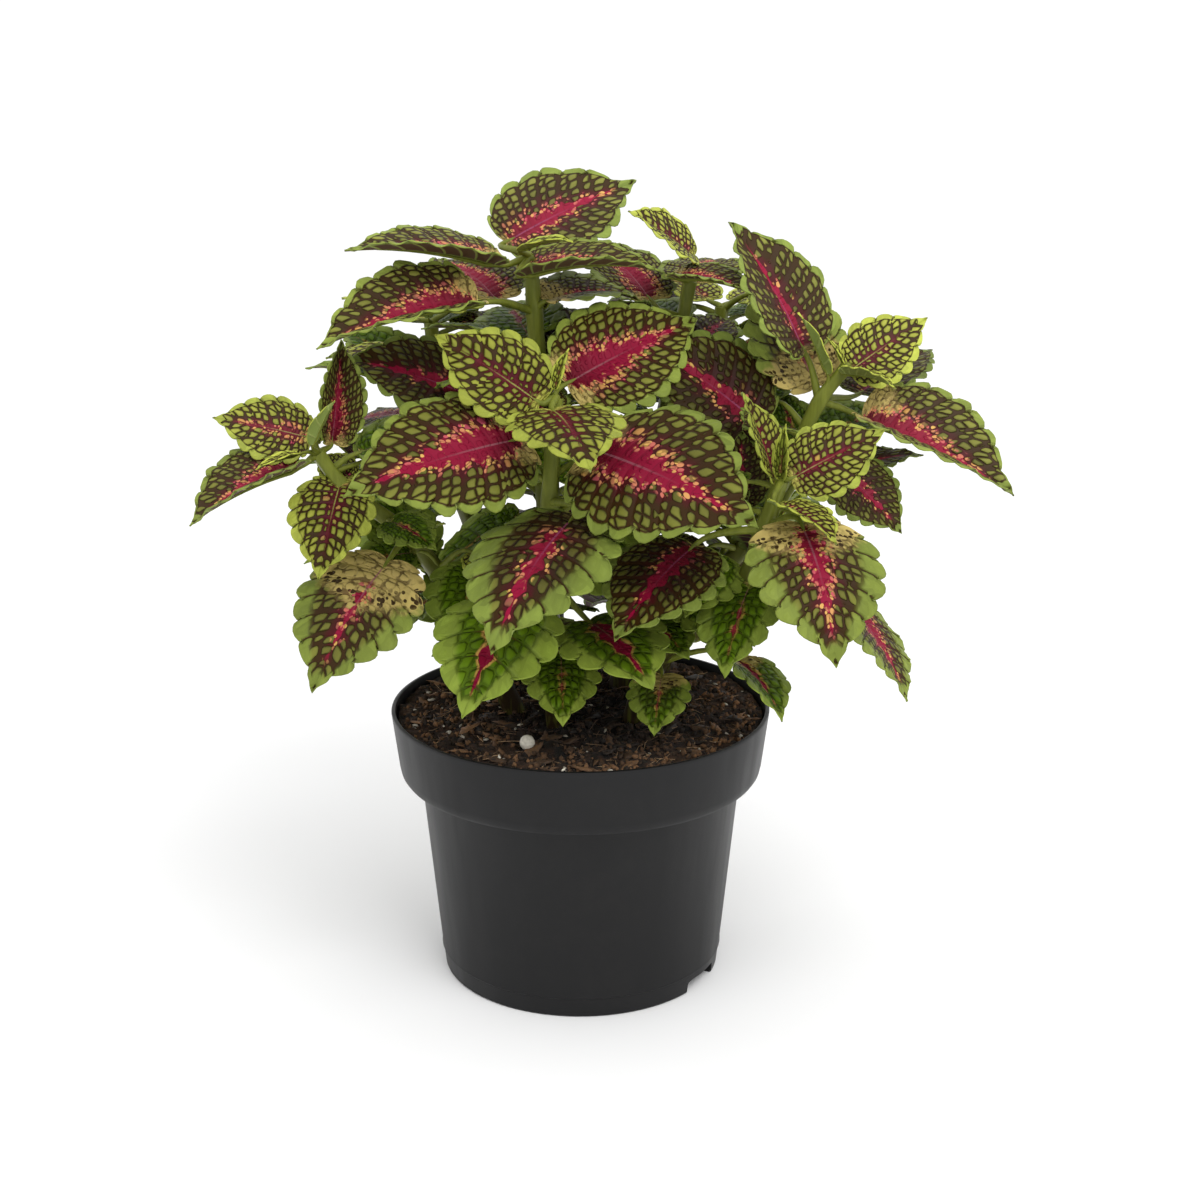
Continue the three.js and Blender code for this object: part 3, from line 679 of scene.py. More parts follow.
# The upper skin of a leaf. Its colours lie in the tissue: crimson along the midrib, cream and
# pink pads beside it, green pads outwards, all set in a dark maroon net of veins. The skin is
# quilted over that net, which catches the light on every pad.
PADS_PER_VEIN = 2                # rows of pads from one side vein to the next
FLECKS_PER_PAD = 1.9
WOBBLE = 0.5                     # how far a pad may stray, in pads
FLAME_END = 0.94

upper_skin = new_material("leaf_upper_skin")
blade_map = add_node("UVMap", uv_map="blade")
blade_xy = add_node("SeparateXYZ", blade_map)
trait = {
    name: add_node("Attribute", attribute_name=name).outputs["Fac"] for name in (*TRAITS, "vein", "breadth")
}

half = add_node("MULTIPLY_ADD", blade_xy.outputs[0], 2.0, -1.0)
out = add_node("ABSOLUTE", half)
inwards = add_node("SUBTRACT", 1.0, out)
along = blade_xy.outputs[1]
vein = trait["vein"]
seed_shift = add_node("SUBTRACT", add_node("ROUND", add_node("MULTIPLY", trait["seed"], 90.0)), WOBBLE / 2)

# Pads: rounded cells between the veins, set further apart near the midrib.
pads_here = add_node("MULTIPLY", trait["pads"], trait["breadth"])
net_x = add_node("MULTIPLY_ADD", half, pads_here, seed_shift)
net_y = add_node("MULTIPLY_ADD", vein, PADS_PER_VEIN, seed_shift)
net_place = add_node("CombineXYZ", net_x, net_y)
wobble = add_node("TexNoise", net_place, Scale=0.6, Detail=2)
wobbled = add_node(
    "VectorMath", wobble.outputs["Color"], (WOBBLE, WOBBLE, 0), net_place, operation="MULTIPLY_ADD"
)
edges = add_node(
    "TexVoronoi", wobbled, Scale=1, Randomness=0.5, voronoi_dimensions="2D", feature="DISTANCE_TO_EDGE"
)
cells = add_node("TexVoronoi", wobbled, Scale=1, Randomness=0.5, voronoi_dimensions="2D", feature="F1")
chance = add_node("SeparateXYZ", cells.outputs["Color"])
to_centre = add_node("VectorMath", cells.outputs["Position"], wobbled, operation="SUBTRACT")
to_centre = add_node("SeparateXYZ", to_centre)
pad_out = add_node("ABSOLUTE", add_node("ADD", half, add_node("DIVIDE", to_centre.outputs[0], pads_here)))
fleck_cells = add_node(
    "TexVoronoi", wobbled, Scale=FLECKS_PER_PAD, Randomness=0.8, voronoi_dimensions="2D", feature="F1"
)
fleck_chance = add_node("SeparateXYZ", fleck_cells.outputs["Color"])
pad_vein = add_node("MULTIPLY_ADD", to_centre.outputs[1], 1 / PADS_PER_VEIN, vein)

# The flame: its half width along the blade, with tongues that run out on the veins.
from_vein = add_node("PINGPONG", vein, 0.5)
begun = add_node("MAXIMUM", add_node("SUBTRACT", along, trait["begin"]), 0.0)
left = add_node("MAXIMUM", add_node("MULTIPLY_ADD", along, -1 / FLAME_END, 1.0), 0.0)
flame_width = add_node("MULTIPLY", add_node("POWER", begun, add_node("ADD", trait["begin"], 0.45)), left)
flame_width = add_node("MULTIPLY", flame_width, add_node("MULTIPLY", trait["crimson"], 0.64))
has_flame = add_node("ease", flame_width, 0.005, 0.05)
tongue = add_node("MULTIPLY_ADD", from_vein, -0.26, 0.075)
tongue = add_node("MULTIPLY", tongue, add_node("MINIMUM", trait["crimson"], 1.0))
pad_tongue = add_node("MULTIPLY_ADD", add_node("PINGPONG", pad_vein, 0.5), -0.2, 0.05)
frayed = add_node("TexNoise", net_place, Scale=1.1, Detail=3)
fray = add_node("MULTIPLY_ADD", frayed.outputs[0], 0.2, -0.1)
reach = add_node("ADD", add_node("ADD", flame_width, tongue), fray)
within = add_node("SUBTRACT", reach, out)
flame = add_node("MULTIPLY", add_node("ease", within, -0.012, 0.018), has_flame)
beside = add_node("MULTIPLY", add_node("ease", within, -0.32, -0.08), has_flame)
pad_within = add_node("SUBTRACT", add_node("ADD", flame_width, pad_tongue), pad_out)
pad_reach = add_node("ease", along, 0.15, 0.65, -0.32, -0.07)
pad_beside = add_node(
    "MULTIPLY", add_node("ease", add_node("SUBTRACT", pad_within, pad_reach), 0.0, 0.1), has_flame
)

# How far each point stands inside its pad, less the dark bands along the side veins, which are
# broad near the midrib and thin at the notches.
wander = add_node("MULTIPLY_ADD", wobble.outputs[0], 0.1, -0.05)
band = add_node("MULTIPLY", add_node("MULTIPLY_ADD", inwards, 0.24, 0.07), trait["net"])
banded = add_node("ease", add_node("ADD", from_vein, wander), 0.0, band, 0.6, 0.0)
line = add_node("MULTIPLY_ADD", inwards, 0.09, 0.02)
line = add_node("MULTIPLY", add_node("MULTIPLY_ADD", beside, 0.03, line), trait["net"])
depth = add_node("MULTIPLY_ADD", cells.outputs["Distance"], -1.0, edges.outputs["Distance"])
depth = add_node("SUBTRACT", depth, banded)
shore = add_node("MULTIPLY_ADD", line, 1.9, -0.5)
stand = add_node(
    "MINIMUM", add_node("SUBTRACT", depth, shore), add_node("SUBTRACT", edges.outputs["Distance"], line)
)
pad = add_node("ease", stand, -0.02, 0.11)
smooth_leaf = add_node("ease", trait["net"], 0.35, 0.6, 1.0, 0.0)

# Lobes: plain tissue outside the last cross vein, parted by the notches.
plain_from = add_node(
    "MULTIPLY_ADD", trait["plain"], -1.0, add_node("MULTIPLY_ADD", wobble.outputs[0], 0.1, 0.95)
)
past = add_node("SUBTRACT", out, plain_from)
tip_plain = add_node("MULTIPLY_ADD", add_node("MULTIPLY_ADD", fray, 0.3, along), 4.0, -3.68)
past = add_node("MAXIMUM", past, tip_plain)
broad = add_node("ease", trait["plain"], 0.18, 0.3)
lobe = add_node("ease", past, add_node("MULTIPLY", broad, -0.14), 0.03)
parted = add_node("ease", from_vein, 0.01, add_node("MULTIPLY_ADD", inwards, 0.1, 0.045))
parted = add_node("MAXIMUM", parted, add_node("ease", out, 0.86, 0.99, 0.0, 0.6))
plain = add_node("MULTIPLY", lobe, parted)
shoreline = add_node("MAXIMUM", broad, add_node("ease", past, -0.03, -0.005, 1.0, 0.0))
tissue = add_node("MAXIMUM", add_node("MULTIPLY", pad, shoreline), plain)
side_vein = add_node(
    "MULTIPLY", add_node("ease", from_vein, 0.015, 0.07, 1.0, 0.0),
    add_node("ease", out, 0.5, 0.95, 0.6, 0.2),
)
faint = add_node("MULTIPLY", smooth_leaf, add_node("SUBTRACT", 0.93, side_vein))
tissue = add_node("MAXIMUM", tissue, faint)

# Colours of the pads, and of the net between them.
fresh = add_node("blend", out, "#62602a", "#787a32")
lime = add_node("blend", out, "#8f9238", "#aaae42")
green = add_node("blend", trait["lime"], fresh, lime)
green = add_node("blend", smooth_leaf, green, add_node("blend", out, "#506a0c", "#668414"))
rim_green = add_node("blend", trait["lime"], "#76883a", "#b0b84a")
green = add_node("blend", add_node("MULTIPLY", lobe, 0.75), green, rim_green)
tone = add_node("MapRange", chance.outputs[0], 0, 1, 0.84, 1.16)
tone = add_node("MULTIPLY", tone, trait["tone"])
# Painted shade and highlight: each pad is darker at its edge, in the crease by the veins, and brighter in its
# middle.
tone = add_node("MULTIPLY", tone, add_node("MAXIMUM", add_node("ease", stand, 0.0, 0.3, 0.74, 1.08), lobe))
toned = add_node("VectorMath", green, Scale=tone, operation="SCALE")
blush = add_node("blend", add_node("ease", chance.outputs[1], 0.1, 0.9), "#b4485a", "#cf9c54")
picked = add_node("ease", add_node("SUBTRACT", trait["blush"], chance.outputs[2]), -0.05, 0.05)
picked = add_node("MULTIPLY", picked, add_node("SUBTRACT", 1.0, smooth_leaf))
pad_colour = add_node("blend", add_node("MULTIPLY", pad_beside, picked), toned.outputs[0], blush)
net_colour = add_node("blend", smooth_leaf, "#37240a", "#36460e")
net_colour = add_node("blend", beside, net_colour, "#4c1018")

# The pale patch at the stalk, where the net thins to dark flecks.
patch_reach = add_node("MULTIPLY_ADD", trait["cream"], 0.34, 0.01)
patch_place = add_node("MULTIPLY", add_node("MULTIPLY", out, 0.3), trait["breadth"])
patch_place = add_node("ADD", patch_place, add_node("POWER", along, RIB_CROWDING))
patch_place = add_node("MULTIPLY_ADD", fray, 0.8, patch_place)
patch_depth = add_node("SUBTRACT", patch_reach, patch_place)
patch = add_node("ease", patch_depth, -0.03, 0.05)
straw = add_node("blend", trait["lime"], "#c8b06a", "#a8ae44")
pad_colour = add_node("blend", patch, pad_colour, straw)
bare = add_node("MULTIPLY", patch, add_node("ease", frayed.outputs[0], 0.42, 0.56, 0.25, 0.95))
net_colour = add_node("blend", bare, net_colour, straw)
surface = add_node("blend", tissue, net_colour, pad_colour)
spot = add_node(
    "SUBTRACT", add_node("MULTIPLY_ADD", fleck_chance.outputs[0], 0.3, 0.3), fleck_cells.outputs["Distance"]
)
spot = add_node(
    "MULTIPLY", add_node("ease", spot, -0.03, 0.04),
    add_node("ease", fleck_chance.outputs[1], 0.42, 0.5, 1.0, 0.0),
)
spot = add_node(
    "MULTIPLY", add_node("MULTIPLY", spot, patch), add_node("ease", patch_depth, 0.1, 0.2, 1.0, 0.0)
)
surface = add_node(
    "blend", add_node("MULTIPLY", spot, add_node("ease", trait["cream"], 0.6, 0.9)), surface, "#3a2a10"
)

# A dusky veil over the middle of the older leaves.
veil = add_node("MULTIPLY", trait["veil"], add_node("ease", out, 0.35, 0.95, 1.0, 0.0))
veil = add_node("MULTIPLY", veil, add_node("ease", add_node("ADD", along, fray), 0.6, 0.85, 1.0, 0.0))
surface = add_node("blend", veil, surface, "#2b1c12")

# The flame itself, darker towards the stalk and on its veins.
crimson = add_node("blend", add_node("ease", along, 0.1, 0.55), "#660a20", "#940e36")
crimson = add_node("blend", add_node("ease", from_vein, 0.0, 0.05, 0.3, 0.0), crimson, "#4c0a22")
crimson = add_node("blend", trait["lime"], crimson, "#481418")
crimson = add_node("blend", add_node("MULTIPLY", veil, 0.5), crimson, "#2b1c12")
halo = add_node("MULTIPLY", add_node("ease", within, -0.1, -0.04), has_flame)
halo = add_node("MULTIPLY", halo, add_node("MULTIPLY", smooth_leaf, trait["blush"]))
halo = add_node("MULTIPLY", halo, add_node("ease", frayed.outputs[0], 0.42, 0.5))
surface = add_node("blend", halo, surface, "#c79a50")
surface = add_node("blend", flame, surface, crimson)

# Small cream and pink flecks crowd along the flame's edge.
fleck = add_node(
    "MULTIPLY", add_node("ease", within, -0.15, -0.06), add_node("ease", within, 0.03, 0.09, 1.0, 0.0)
)
fleck = add_node(
    "MULTIPLY", fleck,
    add_node("ease", add_node("SUBTRACT", trait["blush"], fleck_chance.outputs[2]), 0.15, 0.25),
)
fleck_size = add_node("MULTIPLY_ADD", fleck_chance.outputs[0], 0.22, 0.26)
fleck_depth = add_node("SUBTRACT", fleck_size, fleck_cells.outputs["Distance"])
fleck = add_node("MULTIPLY", fleck, add_node("ease", fleck_depth, -0.03, 0.05))
fleck = add_node("MULTIPLY", add_node("MULTIPLY", fleck, has_flame), add_node("SUBTRACT", 1.0, smooth_leaf))
surface = add_node(
    "blend", fleck, surface, add_node("blend", fleck_chance.outputs[1], "#bd4a5c", "#d9ae5c")
)

midrib = add_node(
    "MULTIPLY", add_node("ease", out, 0.008, 0.022, 1.0, 0.0), add_node("ease", along, 0.35, 0.75, 0.8, 0.0)
)
surface = add_node("blend", midrib, surface, add_node("blend", trait["lime"], "#8f4462", "#9fae48"))

# Painted light: the outermost leaves, which stand in full light, are made brighter and have a thin pale
# painted sheen.
sun = add_node("Attribute", attribute_name="sun").outputs["Fac"]
sunned = add_node("MULTIPLY_ADD", sun, 0.24, 1.0)
surface = add_node("VectorMath", surface, Scale=sunned, operation="SCALE").outputs[0]
surface = add_node("blend", add_node("MULTIPLY", sun, 0.018), surface, "#e6e6dc")

# The quilting: each pad is a dome and each lobe is puffed between its veins, with fine pores.
dome = add_node("MULTIPLY_ADD", add_node("POWER", cells.outputs["Distance"], 2.0), -1.4, 1.0)
dome = add_node("MULTIPLY", dome, add_node("ease", stand, -0.06, 0.14))
dome = add_node("MULTIPLY", dome, add_node("MULTIPLY_ADD", add_node("MAXIMUM", flame, patch), -0.7, 1.0))
puff = add_node(
    "MAXIMUM", dome, add_node("MULTIPLY", lobe, add_node("ease", from_vein, 0.0, 0.12, 0.3, 0.9))
)
puffed = add_node("Bump", Height=puff, Strength=0.9, Distance=0.0014)
place = add_node("TexCoord").outputs["Object"]
pores = add_node("TexNoise", place, Scale=2200, Detail=2)
skin = add_node("Bump", Height=pores.outputs[0], Strength=0.15, Distance=0.0002, Normal=puffed)
shader = add_node(
    "BsdfPrincipled", Base_Color=surface, Roughness=0.46, IOR=1.4, Normal=skin, Specular_IOR_Level=0.15
)
glow = add_node("BsdfTranslucent", Color=surface, Normal=skin)
leafy = add_node("MixShader", 0.14, shader, glow)
add_node("OutputMaterial", Surface=leafy)

# The under skin: paler and duller, flushed with maroon between raised pale green veins.
under_skin = new_material("leaf_under_skin")
blade_map = add_node("UVMap", uv_map="blade")
blade_xy = add_node("SeparateXYZ", blade_map)
vein = add_node("Attribute", attribute_name="vein").outputs["Fac"]
young = add_node("Attribute", attribute_name="lime").outputs["Fac"]
half = add_node("MULTIPLY_ADD", blade_xy.outputs[0], 2, -1)
out = add_node("ABSOLUTE", half)
from_vein = add_node("PINGPONG", vein, 0.5)
side_vein = add_node("ease", from_vein, 0.03, 0.1, 1, 0)
mid_vein = add_node("ease", out, 0.03, 0.06, 1, 0)
veins = add_node("MAXIMUM", side_vein, mid_vein)
cloud = add_node("TexNoise", blade_map, Scale=9, Detail=3)
rim_start = add_node("MULTIPLY_ADD", cloud, 0.3, out)
rim = add_node("ease", rim_start, 0.8, 0.98)
rim = add_node("MAXIMUM", rim, young)
ground = add_node("blend", rim, "#5d3a35", "#8a9a4c")
colour = add_node("blend", veins, ground, "#9fac5c")
ribs = add_node("Bump", Height=veins, Strength=0.5, Distance=0.0006)
shader = add_node("BsdfPrincipled", Base_Color=colour, Roughness=0.6, IOR=1.42, Normal=ribs)
glow = add_node("BsdfTranslucent", Color=colour, Normal=ribs)
leafy = add_node("MixShader", 0.2, shader, glow)
add_node("OutputMaterial", Surface=leafy)

SHADE_MIDDLE = 0.165             # height of the plant's shady middle, in metres,
SHADE_REACH = (0.12, 0.1)        # its half width and half height,
SHADE_EDGE = 0.55                # and how far through them a leaf begins to catch the sun
WAVE = (0.3, 0.8)                # how far the edge of a blade waves up and down
TRAIT_SPREAD = (0.85, 1.15)      # a leaf's own colouring, in shares of its look's
FLAT_BLADES = {(look, depth): flat_blade(look, depth) for look in LOOKS for depth in FINENESS}


def grown_blade(leaf, draw):
    """A copy of the flat blade, bent to its place, with its own colouring."""
    mesh = FLAT_BLADES[leaf["look"], leaf.get("depth", "outer")].copy()
    count = len(mesh.vertices)
    values = {}
    for name in ("half", "place", "vein"):
        values[name] = np.empty(count, np.float32)
        mesh.attributes[name].data.foreach_get("value", values[name])
    leaf["wave"] = draw.uniform(*WAVE)
    leaf["phase"] = draw.uniform(0, 6.28)
    placed = bend_blade(*(values[name].astype(float) for name in ("half", "place", "vein")), leaf)
    mesh.vertices.foreach_set("co", placed.astype(np.float32).ravel())
    look = LOOKS[leaf["look"]]
    for name in TRAITS:
        value = draw.random() if name == "seed" else look[name] * draw.uniform(*TRAIT_SPREAD)
        value = leaf.get(name, value)
        mesh.attributes.new(name, "FLOAT", "POINT").data.foreach_set("value", [value] * count)
    middle = placed.mean(axis=0)
    outward = math.hypot(middle[0] / SHADE_REACH[0], (middle[2] - SHADE_MIDDLE) / SHADE_REACH[1])
    sun = min(1.0, max(0.0, (outward - SHADE_EDGE) / (1 - SHADE_EDGE)))
    mesh.attributes.new("sun", "FLOAT", "POINT").data.foreach_set("value", [sun] * count)
    for spare in ("half", "place"):
        mesh.attributes.remove(mesh.attributes[spare])
    blade = bpy.data.objects.new("blade", mesh)
    bpy.context.scene.collection.objects.link(blade)
    return blade


# ---------------------------------------------------------------------------------------------
# Leafy stems. A coleus stem is square with rounded corners and a little thicker at each node.
# Opposite pairs of stalks leave it there, each thinning into the midrib of its blade.

# Each stem: the points it grows through, whose second and later ones are its nodes, and its
# leaves: node, start and tip of the blade, roll, arch and fold in degrees, look, and the traits
# in which a leaf differs from its look.
LEAFY_STEMS = {
    "top": ([
        (-8, 12, 60), (-10, 13, 130), (-12, 13, 170), (-13, 12, 198), (-15, 10, 228), (-16, 10, 246),
    ], [
        (5, (-26, 6, 244), (-75, -6, 250), -3, 22, 24, "ripe"),
        (5, (-19, 2, 241), (26, 0, 243), 4, 30, 26, "ripe"),
        (5, (-25, 28, 249), (19, 49, 267), 34, 16, 12, "dark",
         {"veil": 0.3, "net": 1.2, "tone": 1.15, "blush": 0.8}),
        (5, (-19, 4, 249), (-2, -6, 253), 10, 30, 30, "tip"),
        (4, (-33, -6, 233), (-83, -22, 221), -18, 24, 34, "ripe"),
        (4, (-11, 8, 232), (20, 24, 230), 10, 40, 20, "cream"),
        (4, (-28, 24, 230), (-50, 58, 239), 0, 30, 20, "ripe"),
        (3, (-35, -2, 202), (-76, -10, 216), -38, 20, 12, "dark"),
        (2, (-14, 34, 172), (-14, 78, 158), 0, 30, 10, "dark"),
    ]),
    "front": ([
        (-6, -8, 60), (-9, -26, 120), (-10, -38, 150), (-9, -40, 176), (-8, -38, 196), (-7, -36, 208),
    ], [
        (5, (-7, -36, 211), (-3, -32, 223), 0, 20, 30, "tip"),
        (5, (-12, -38, 207), (-45, -30, 227), -48, 16, 12, "young", {"tone": 0.8, "blush": 0.0}),
        (5, (-8, -44, 206), (4, -86, 196), 4, 36, 6, "young", {"tone": 0.86, "blush": 0.0}),
        (4, (-18, -44, 197), (-70, -70, 185), -34, 20, 10, "ripe", {"tone": 0.95}),
        (4, (5, -46, 194), (53, -84, 179), 36, 22, 8, "ripe", {"tone": 0.88}),
        (4, (-4, -16, 209), (39, 8, 226), 40, 16, 10, "ripe"),
        (3, (-1, -58, 176), (-25, -100, 145), 0, 36, 6, "dark",
         {"veil": 0.6, "crimson": 1.3, "begin": 0.28, "blush": 0.6, "net": 0.8, "plain": 0.36, "tone": 1.05}),
        (3, (-1, -30, 162), (22, -46, 144), 30, 30, 10, "green"),
        (2, (-19, -44, 145), (-35, -80, 118), -6, 35, 8, "green",
         {"crimson": 1.7, "begin": 0.38, "blush": 1.0, "tone": 1.12}),
        (2, (3, -38, 136), (23, -74, 125), 8, 35, 8, "green",
         {"crimson": 1.3, "begin": 0.22, "tone": 0.95}),
        (2, (-32, -24, 150), (-39, -52, 128), -10, 30, 10, "green"),
        (1, (-6, -35, 124), (-5, -60, 108), 0, 30, 10, "green"),
    ]),
    "left": ([
        (-10, 2, 60), (-29, -9, 110), (-42, -14, 137), (-56, -18, 159), (-76, -21, 176), (-84, -21, 187),
    ], [
        (5, (-87, -19, 192), (-117, -22, 199), -50, 14, 8, "young",
         {"crimson": 0.6, "lime": 0.6, "blush": 0.8}),
        (5, (-89, -26, 184), (-121, -48, 170), -4, 24, 34, "ripe"),
        (5, (-80, -17, 190), (-77, -8, 222), 40, 16, 56, "ripe"),
        (5, (-84, -29, 192), (-76, -35, 207), 0, 20, 30, "tip"),
        (5, (-89, -31, 189), (-101, -40, 186), 0, 20, 30, "tip"),
        (4, (-77, -22, 178), (-82, -46, 152), -10, 30, 14, "young"),
        (4, (-74, -18, 178), (-86, -8, 183), -30, 30, 14, "young"),
        (3, (-61, -26, 166), (-45, -40, 160), 20, 30, 12, "green"),
        (3, (-61, -34, 155), (-83, -62, 120), -14, 36, 8, "cream",
         {"cream": 1.3, "net": 0.7, "tone": 0.88}),
        (2, (-54, -20, 154), (-78, -22, 147), -30, 30, 8, "green", {"depth": "inner"}),
        (2, (-51, -14, 150), (-70, 2, 166), -30, 20, 12, "green"),
    ]),
    "right": ([(14, 6, 60), (34, 4, 122), (60, 4, 156), (71, 2, 180), (79, 0, 200), (88, 0, 212)], [
        (4, (74, 4, 216), (49, 16, 257), -18, 20, 22, "dark",
         {"veil": 0.2, "net": 1.45, "tone": 1.15, "crimson": 0.5}),
        (4, (93, -2, 195), (140, -24, 174), 16, 16, 36, "ripe", {"cream": 0.75, "blush": 1.3}),
        (5, (89, 2, 210), (115, 10, 226), 48, 12, 6, "young", {"net": 0.61, "tone": 1.05}),
        (5, (86, -4, 210), (102, -14, 207), -14, 34, 24, "young"),
        (5, (87, 0, 212), (81, 2, 221), 0, 14, 30, "tip"),
        (4, (81, -2, 210), (71, -4, 230), 0, 10, 30, "tip"),
        (4, (79, 12, 203), (59, 30, 240), -20, 16, 14, "cream"),
        (4, (94, 14, 200), (122, 38, 211), 4, 20, 14, "dark"),
        (3, (60, 0, 192), (20, 2, 221), -54, 20, 10, "dark"),
        (3, (72, 8, 186), (68, 24, 199), -10, 20, 12, "green"),
    ]),
    "side": ([(12, -8, 60), (25, -21, 116), (50, -40, 144), (58, -44, 168), (63, -45, 184)], [
        (4, (66, -47, 185), (95, -42, 199), 48, 12, 8, "young", {"net": 0.62, "lime": 0.6, "tone": 0.95}),
        (4, (61, -45, 183), (51, -32, 209), 20, 14, 24, "young", {"net": 0.62, "lime": 0.6, "tone": 0.95}),
        (4, (63, -47, 185), (64, -46, 202), 0, 10, 30, "tip"),
        (4, (61, -58, 179), (77, -77, 172), -10, 34, 24, "young"),
        (3, (68, -60, 174), (76, -94, 139), 0, 50, 4, "cream",
         {"crimson": 0.85, "begin": 0.12, "blush": 1.1}),
        (3, (83, -22, 183), (103, -34, 164), 34, 24, 10, "dark"),
        (3, (36, -46, 163), (11, -78, 142), -10, 30, 8, "dark",
         {"veil": 0.7, "crimson": 0.9, "begin": 0.05}),
        (3, (51, -30, 172), (53, -14, 193), 0, 20, 10, "dark"),
        (2, (83, -54, 148), (100, -78, 123), -24, 24, 10, "ripe", {"net": 0.8, "plain": 0.3}),
        (2, (36, -24, 141), (56, -46, 130), 20, 30, 10, "green"),
        (2, (43, -34, 157), (33, -60, 144), -20, 30, 10, "green"),
        (1, (50, -38, 123), (64, -58, 109), -15, 40, 20, "green",
         {"crimson": 0.6, "begin": 0.1, "cream": 0.9, "veil": 0.3}),
        (1, (27, -30, 115), (24, -50, 101), 0, 30, 10, "green", {"cream": 1.0, "veil": 0.45}),
        (2, (54, -47, 151), (45, -68, 127), 10, 30, 10, "green", {"depth": "inner"}),
        (1, (20, -26, 133), (35, -50, 127), 10, 30, 10, "green"),
    ]),
    "peak": ([(10, 20, 60), (18, 22, 130), (27, 24, 180), (33, 25, 214), (37, 26, 236)], [
        (4, (38, 22, 245), (16, 12, 261), -35, 12, 20, "young"),
        (4, (31, 13, 239), (58, 2, 234), 4, 34, 24, "ripe"),
        (4, (39, 30, 235), (48, 66, 238), 0, 30, 10, "ripe"),
        (3, (24, 40, 228), (2, 70, 244), 0, 30, 14, "ripe"),
        (2, (46, 30, 186), (94, 32, 176), 0, 30, 10, "dark"),
    ]),
    "back": ([
        (-16, 22, 60), (-30, 40, 120), (-42, 54, 152), (-50, 62, 180), (-53, 65, 202), (-54, 66, 216),
    ], [
        (5, (-58, 66, 217), (-88, 84, 222), 0, 24, 10, "young"),
        (5, (-48, 71, 219), (-27, 96, 227), 0, 24, 10, "young"),
        (4, (-62, 58, 203), (-90, 50, 206), -10, 26, 12, "ripe"),
        (4, (-48, 76, 203), (-30, 112, 192), 0, 30, 8, "ripe"),
        (3, (-62, 70, 182), (-108, 82, 166), 0, 30, 8, "ripe"),
        (3, (-42, 74, 180), (-14, 112, 160), 0, 30, 8, "dark"),
        (2, (-48, 66, 154), (-68, 108, 132), 0, 34, 8, "dark"),
        (2, (-52, 46, 153), (-98, 30, 136), 0, 34, 8, "green"),
        (1, (-38, 52, 122), (-60, 84, 106), 0, 34, 8, "green"),
        (1, (-40, 32, 124), (-80, 18, 112), 0, 34, 8, "green"),
    ]),
    "rear": ([(18, 26, 60), (28, 46, 120), (38, 60, 154), (46, 70, 184), (50, 75, 206), (51, 76, 220)], [
        (5, (56, 77, 222), (86, 90, 228), 0, 24, 10, "young"),
        (5, (46, 80, 222), (26, 104, 230), 0, 24, 10, "young"),
        (4, (46, 86, 206), (26, 124, 194), 0, 30, 8, "ripe"),
        (4, (58, 68, 207), (90, 44, 212), 10, 26, 12, "ripe"),
        (3, (58, 76, 185), (108, 86, 170), 0, 30, 8, "ripe"),
        (3, (36, 74, 186), (0, 102, 178), 0, 30, 8, "dark"),
        (2, (43, 78, 156), (56, 118, 134), 0, 34, 8, "dark"),
        (2, (48, 54, 156), (98, 42, 142), 0, 34, 8, "green"),
        (1, (26, 58, 122), (14, 96, 104), 0, 34, 8, "green"),
        (1, (40, 42, 124), (80, 34, 112), 0, 34, 8, "green"),
    ]),
}
STEM_FOOT_RADIUS = 4.4           # corner radius at the root end
STEM_TOP_RADIUS = 2.4
STALK_RADIUS = 1.5
STALK_TIP_RADIUS = 0.8
STALK_LIFT = 0.08                # how far it rises, in its own length
STALK_STEPS = 10
RIB_STEPS = 8                    # the stalk runs on as the blade's midrib in these steps,
RIB_LENGTH = 0.8                 # for this share of the blade
STEM_CORNERS = 20                # points round the stem's cross section
STEM_SQUARENESS = 5
KNOT = 0.13                      # how much thicker a stem is at each node,
KNOT_LENGTH = 3.5                # and over what length
SHORT_LEAF = 40                  # a shorter leaf than this has a thinner stalk
STEM_RINGS = 10                  # rings of faces to a span of a stem
STEM_EDGE = math.radians(50)     # steeper edges of a stem stay sharp
NO_VEIN = -5.0                   # a place before the first vein, with no pads or waves

# Living stem skin: yellow-green and a little glassy, with fine lengthwise ribs. The stems, not
# their stalks, darken to purplish brown low down: older stem, and painted shade under the leaves.
stem_skin = new_material("stem_skin")
place = add_node("TexCoord").outputs["Object"]
height = add_node("SeparateXYZ", place)
aged_and_shaded = add_node("Attribute", attribute_name="aged_and_shaded").outputs["Fac"]
# Painted shade, with the older stem's own colour: the stem darkens towards its foot, under the leaves.
older_and_shaded = add_node("MapRange", height.outputs[2], 0.18, 0.11, 0, 1.9)
older_and_shaded = add_node("MULTIPLY", older_and_shaded, aged_and_shaded)
streak_place = add_node("Mapping", place, Scale=(1, 1, 0.12))
streaks = add_node("TexNoise", streak_place, Scale=700, Detail=3)
green = add_node("blend", streaks, "#4c5516", "#828833")
flush_and_shade = add_node("MULTIPLY", older_and_shaded, streaks)
colour = add_node("blend", flush_and_shade, green, "#2b2012")
ribs = add_node("Bump", Height=streaks.outputs[0], Strength=0.25, Distance=0.0004)
shader = add_node(
    "BsdfPrincipled", Base_Color=colour, Roughness=0.42, IOR=1.42, Normal=ribs, Specular_IOR_Level=0.25
)
add_node("OutputMaterial", Surface=shader)


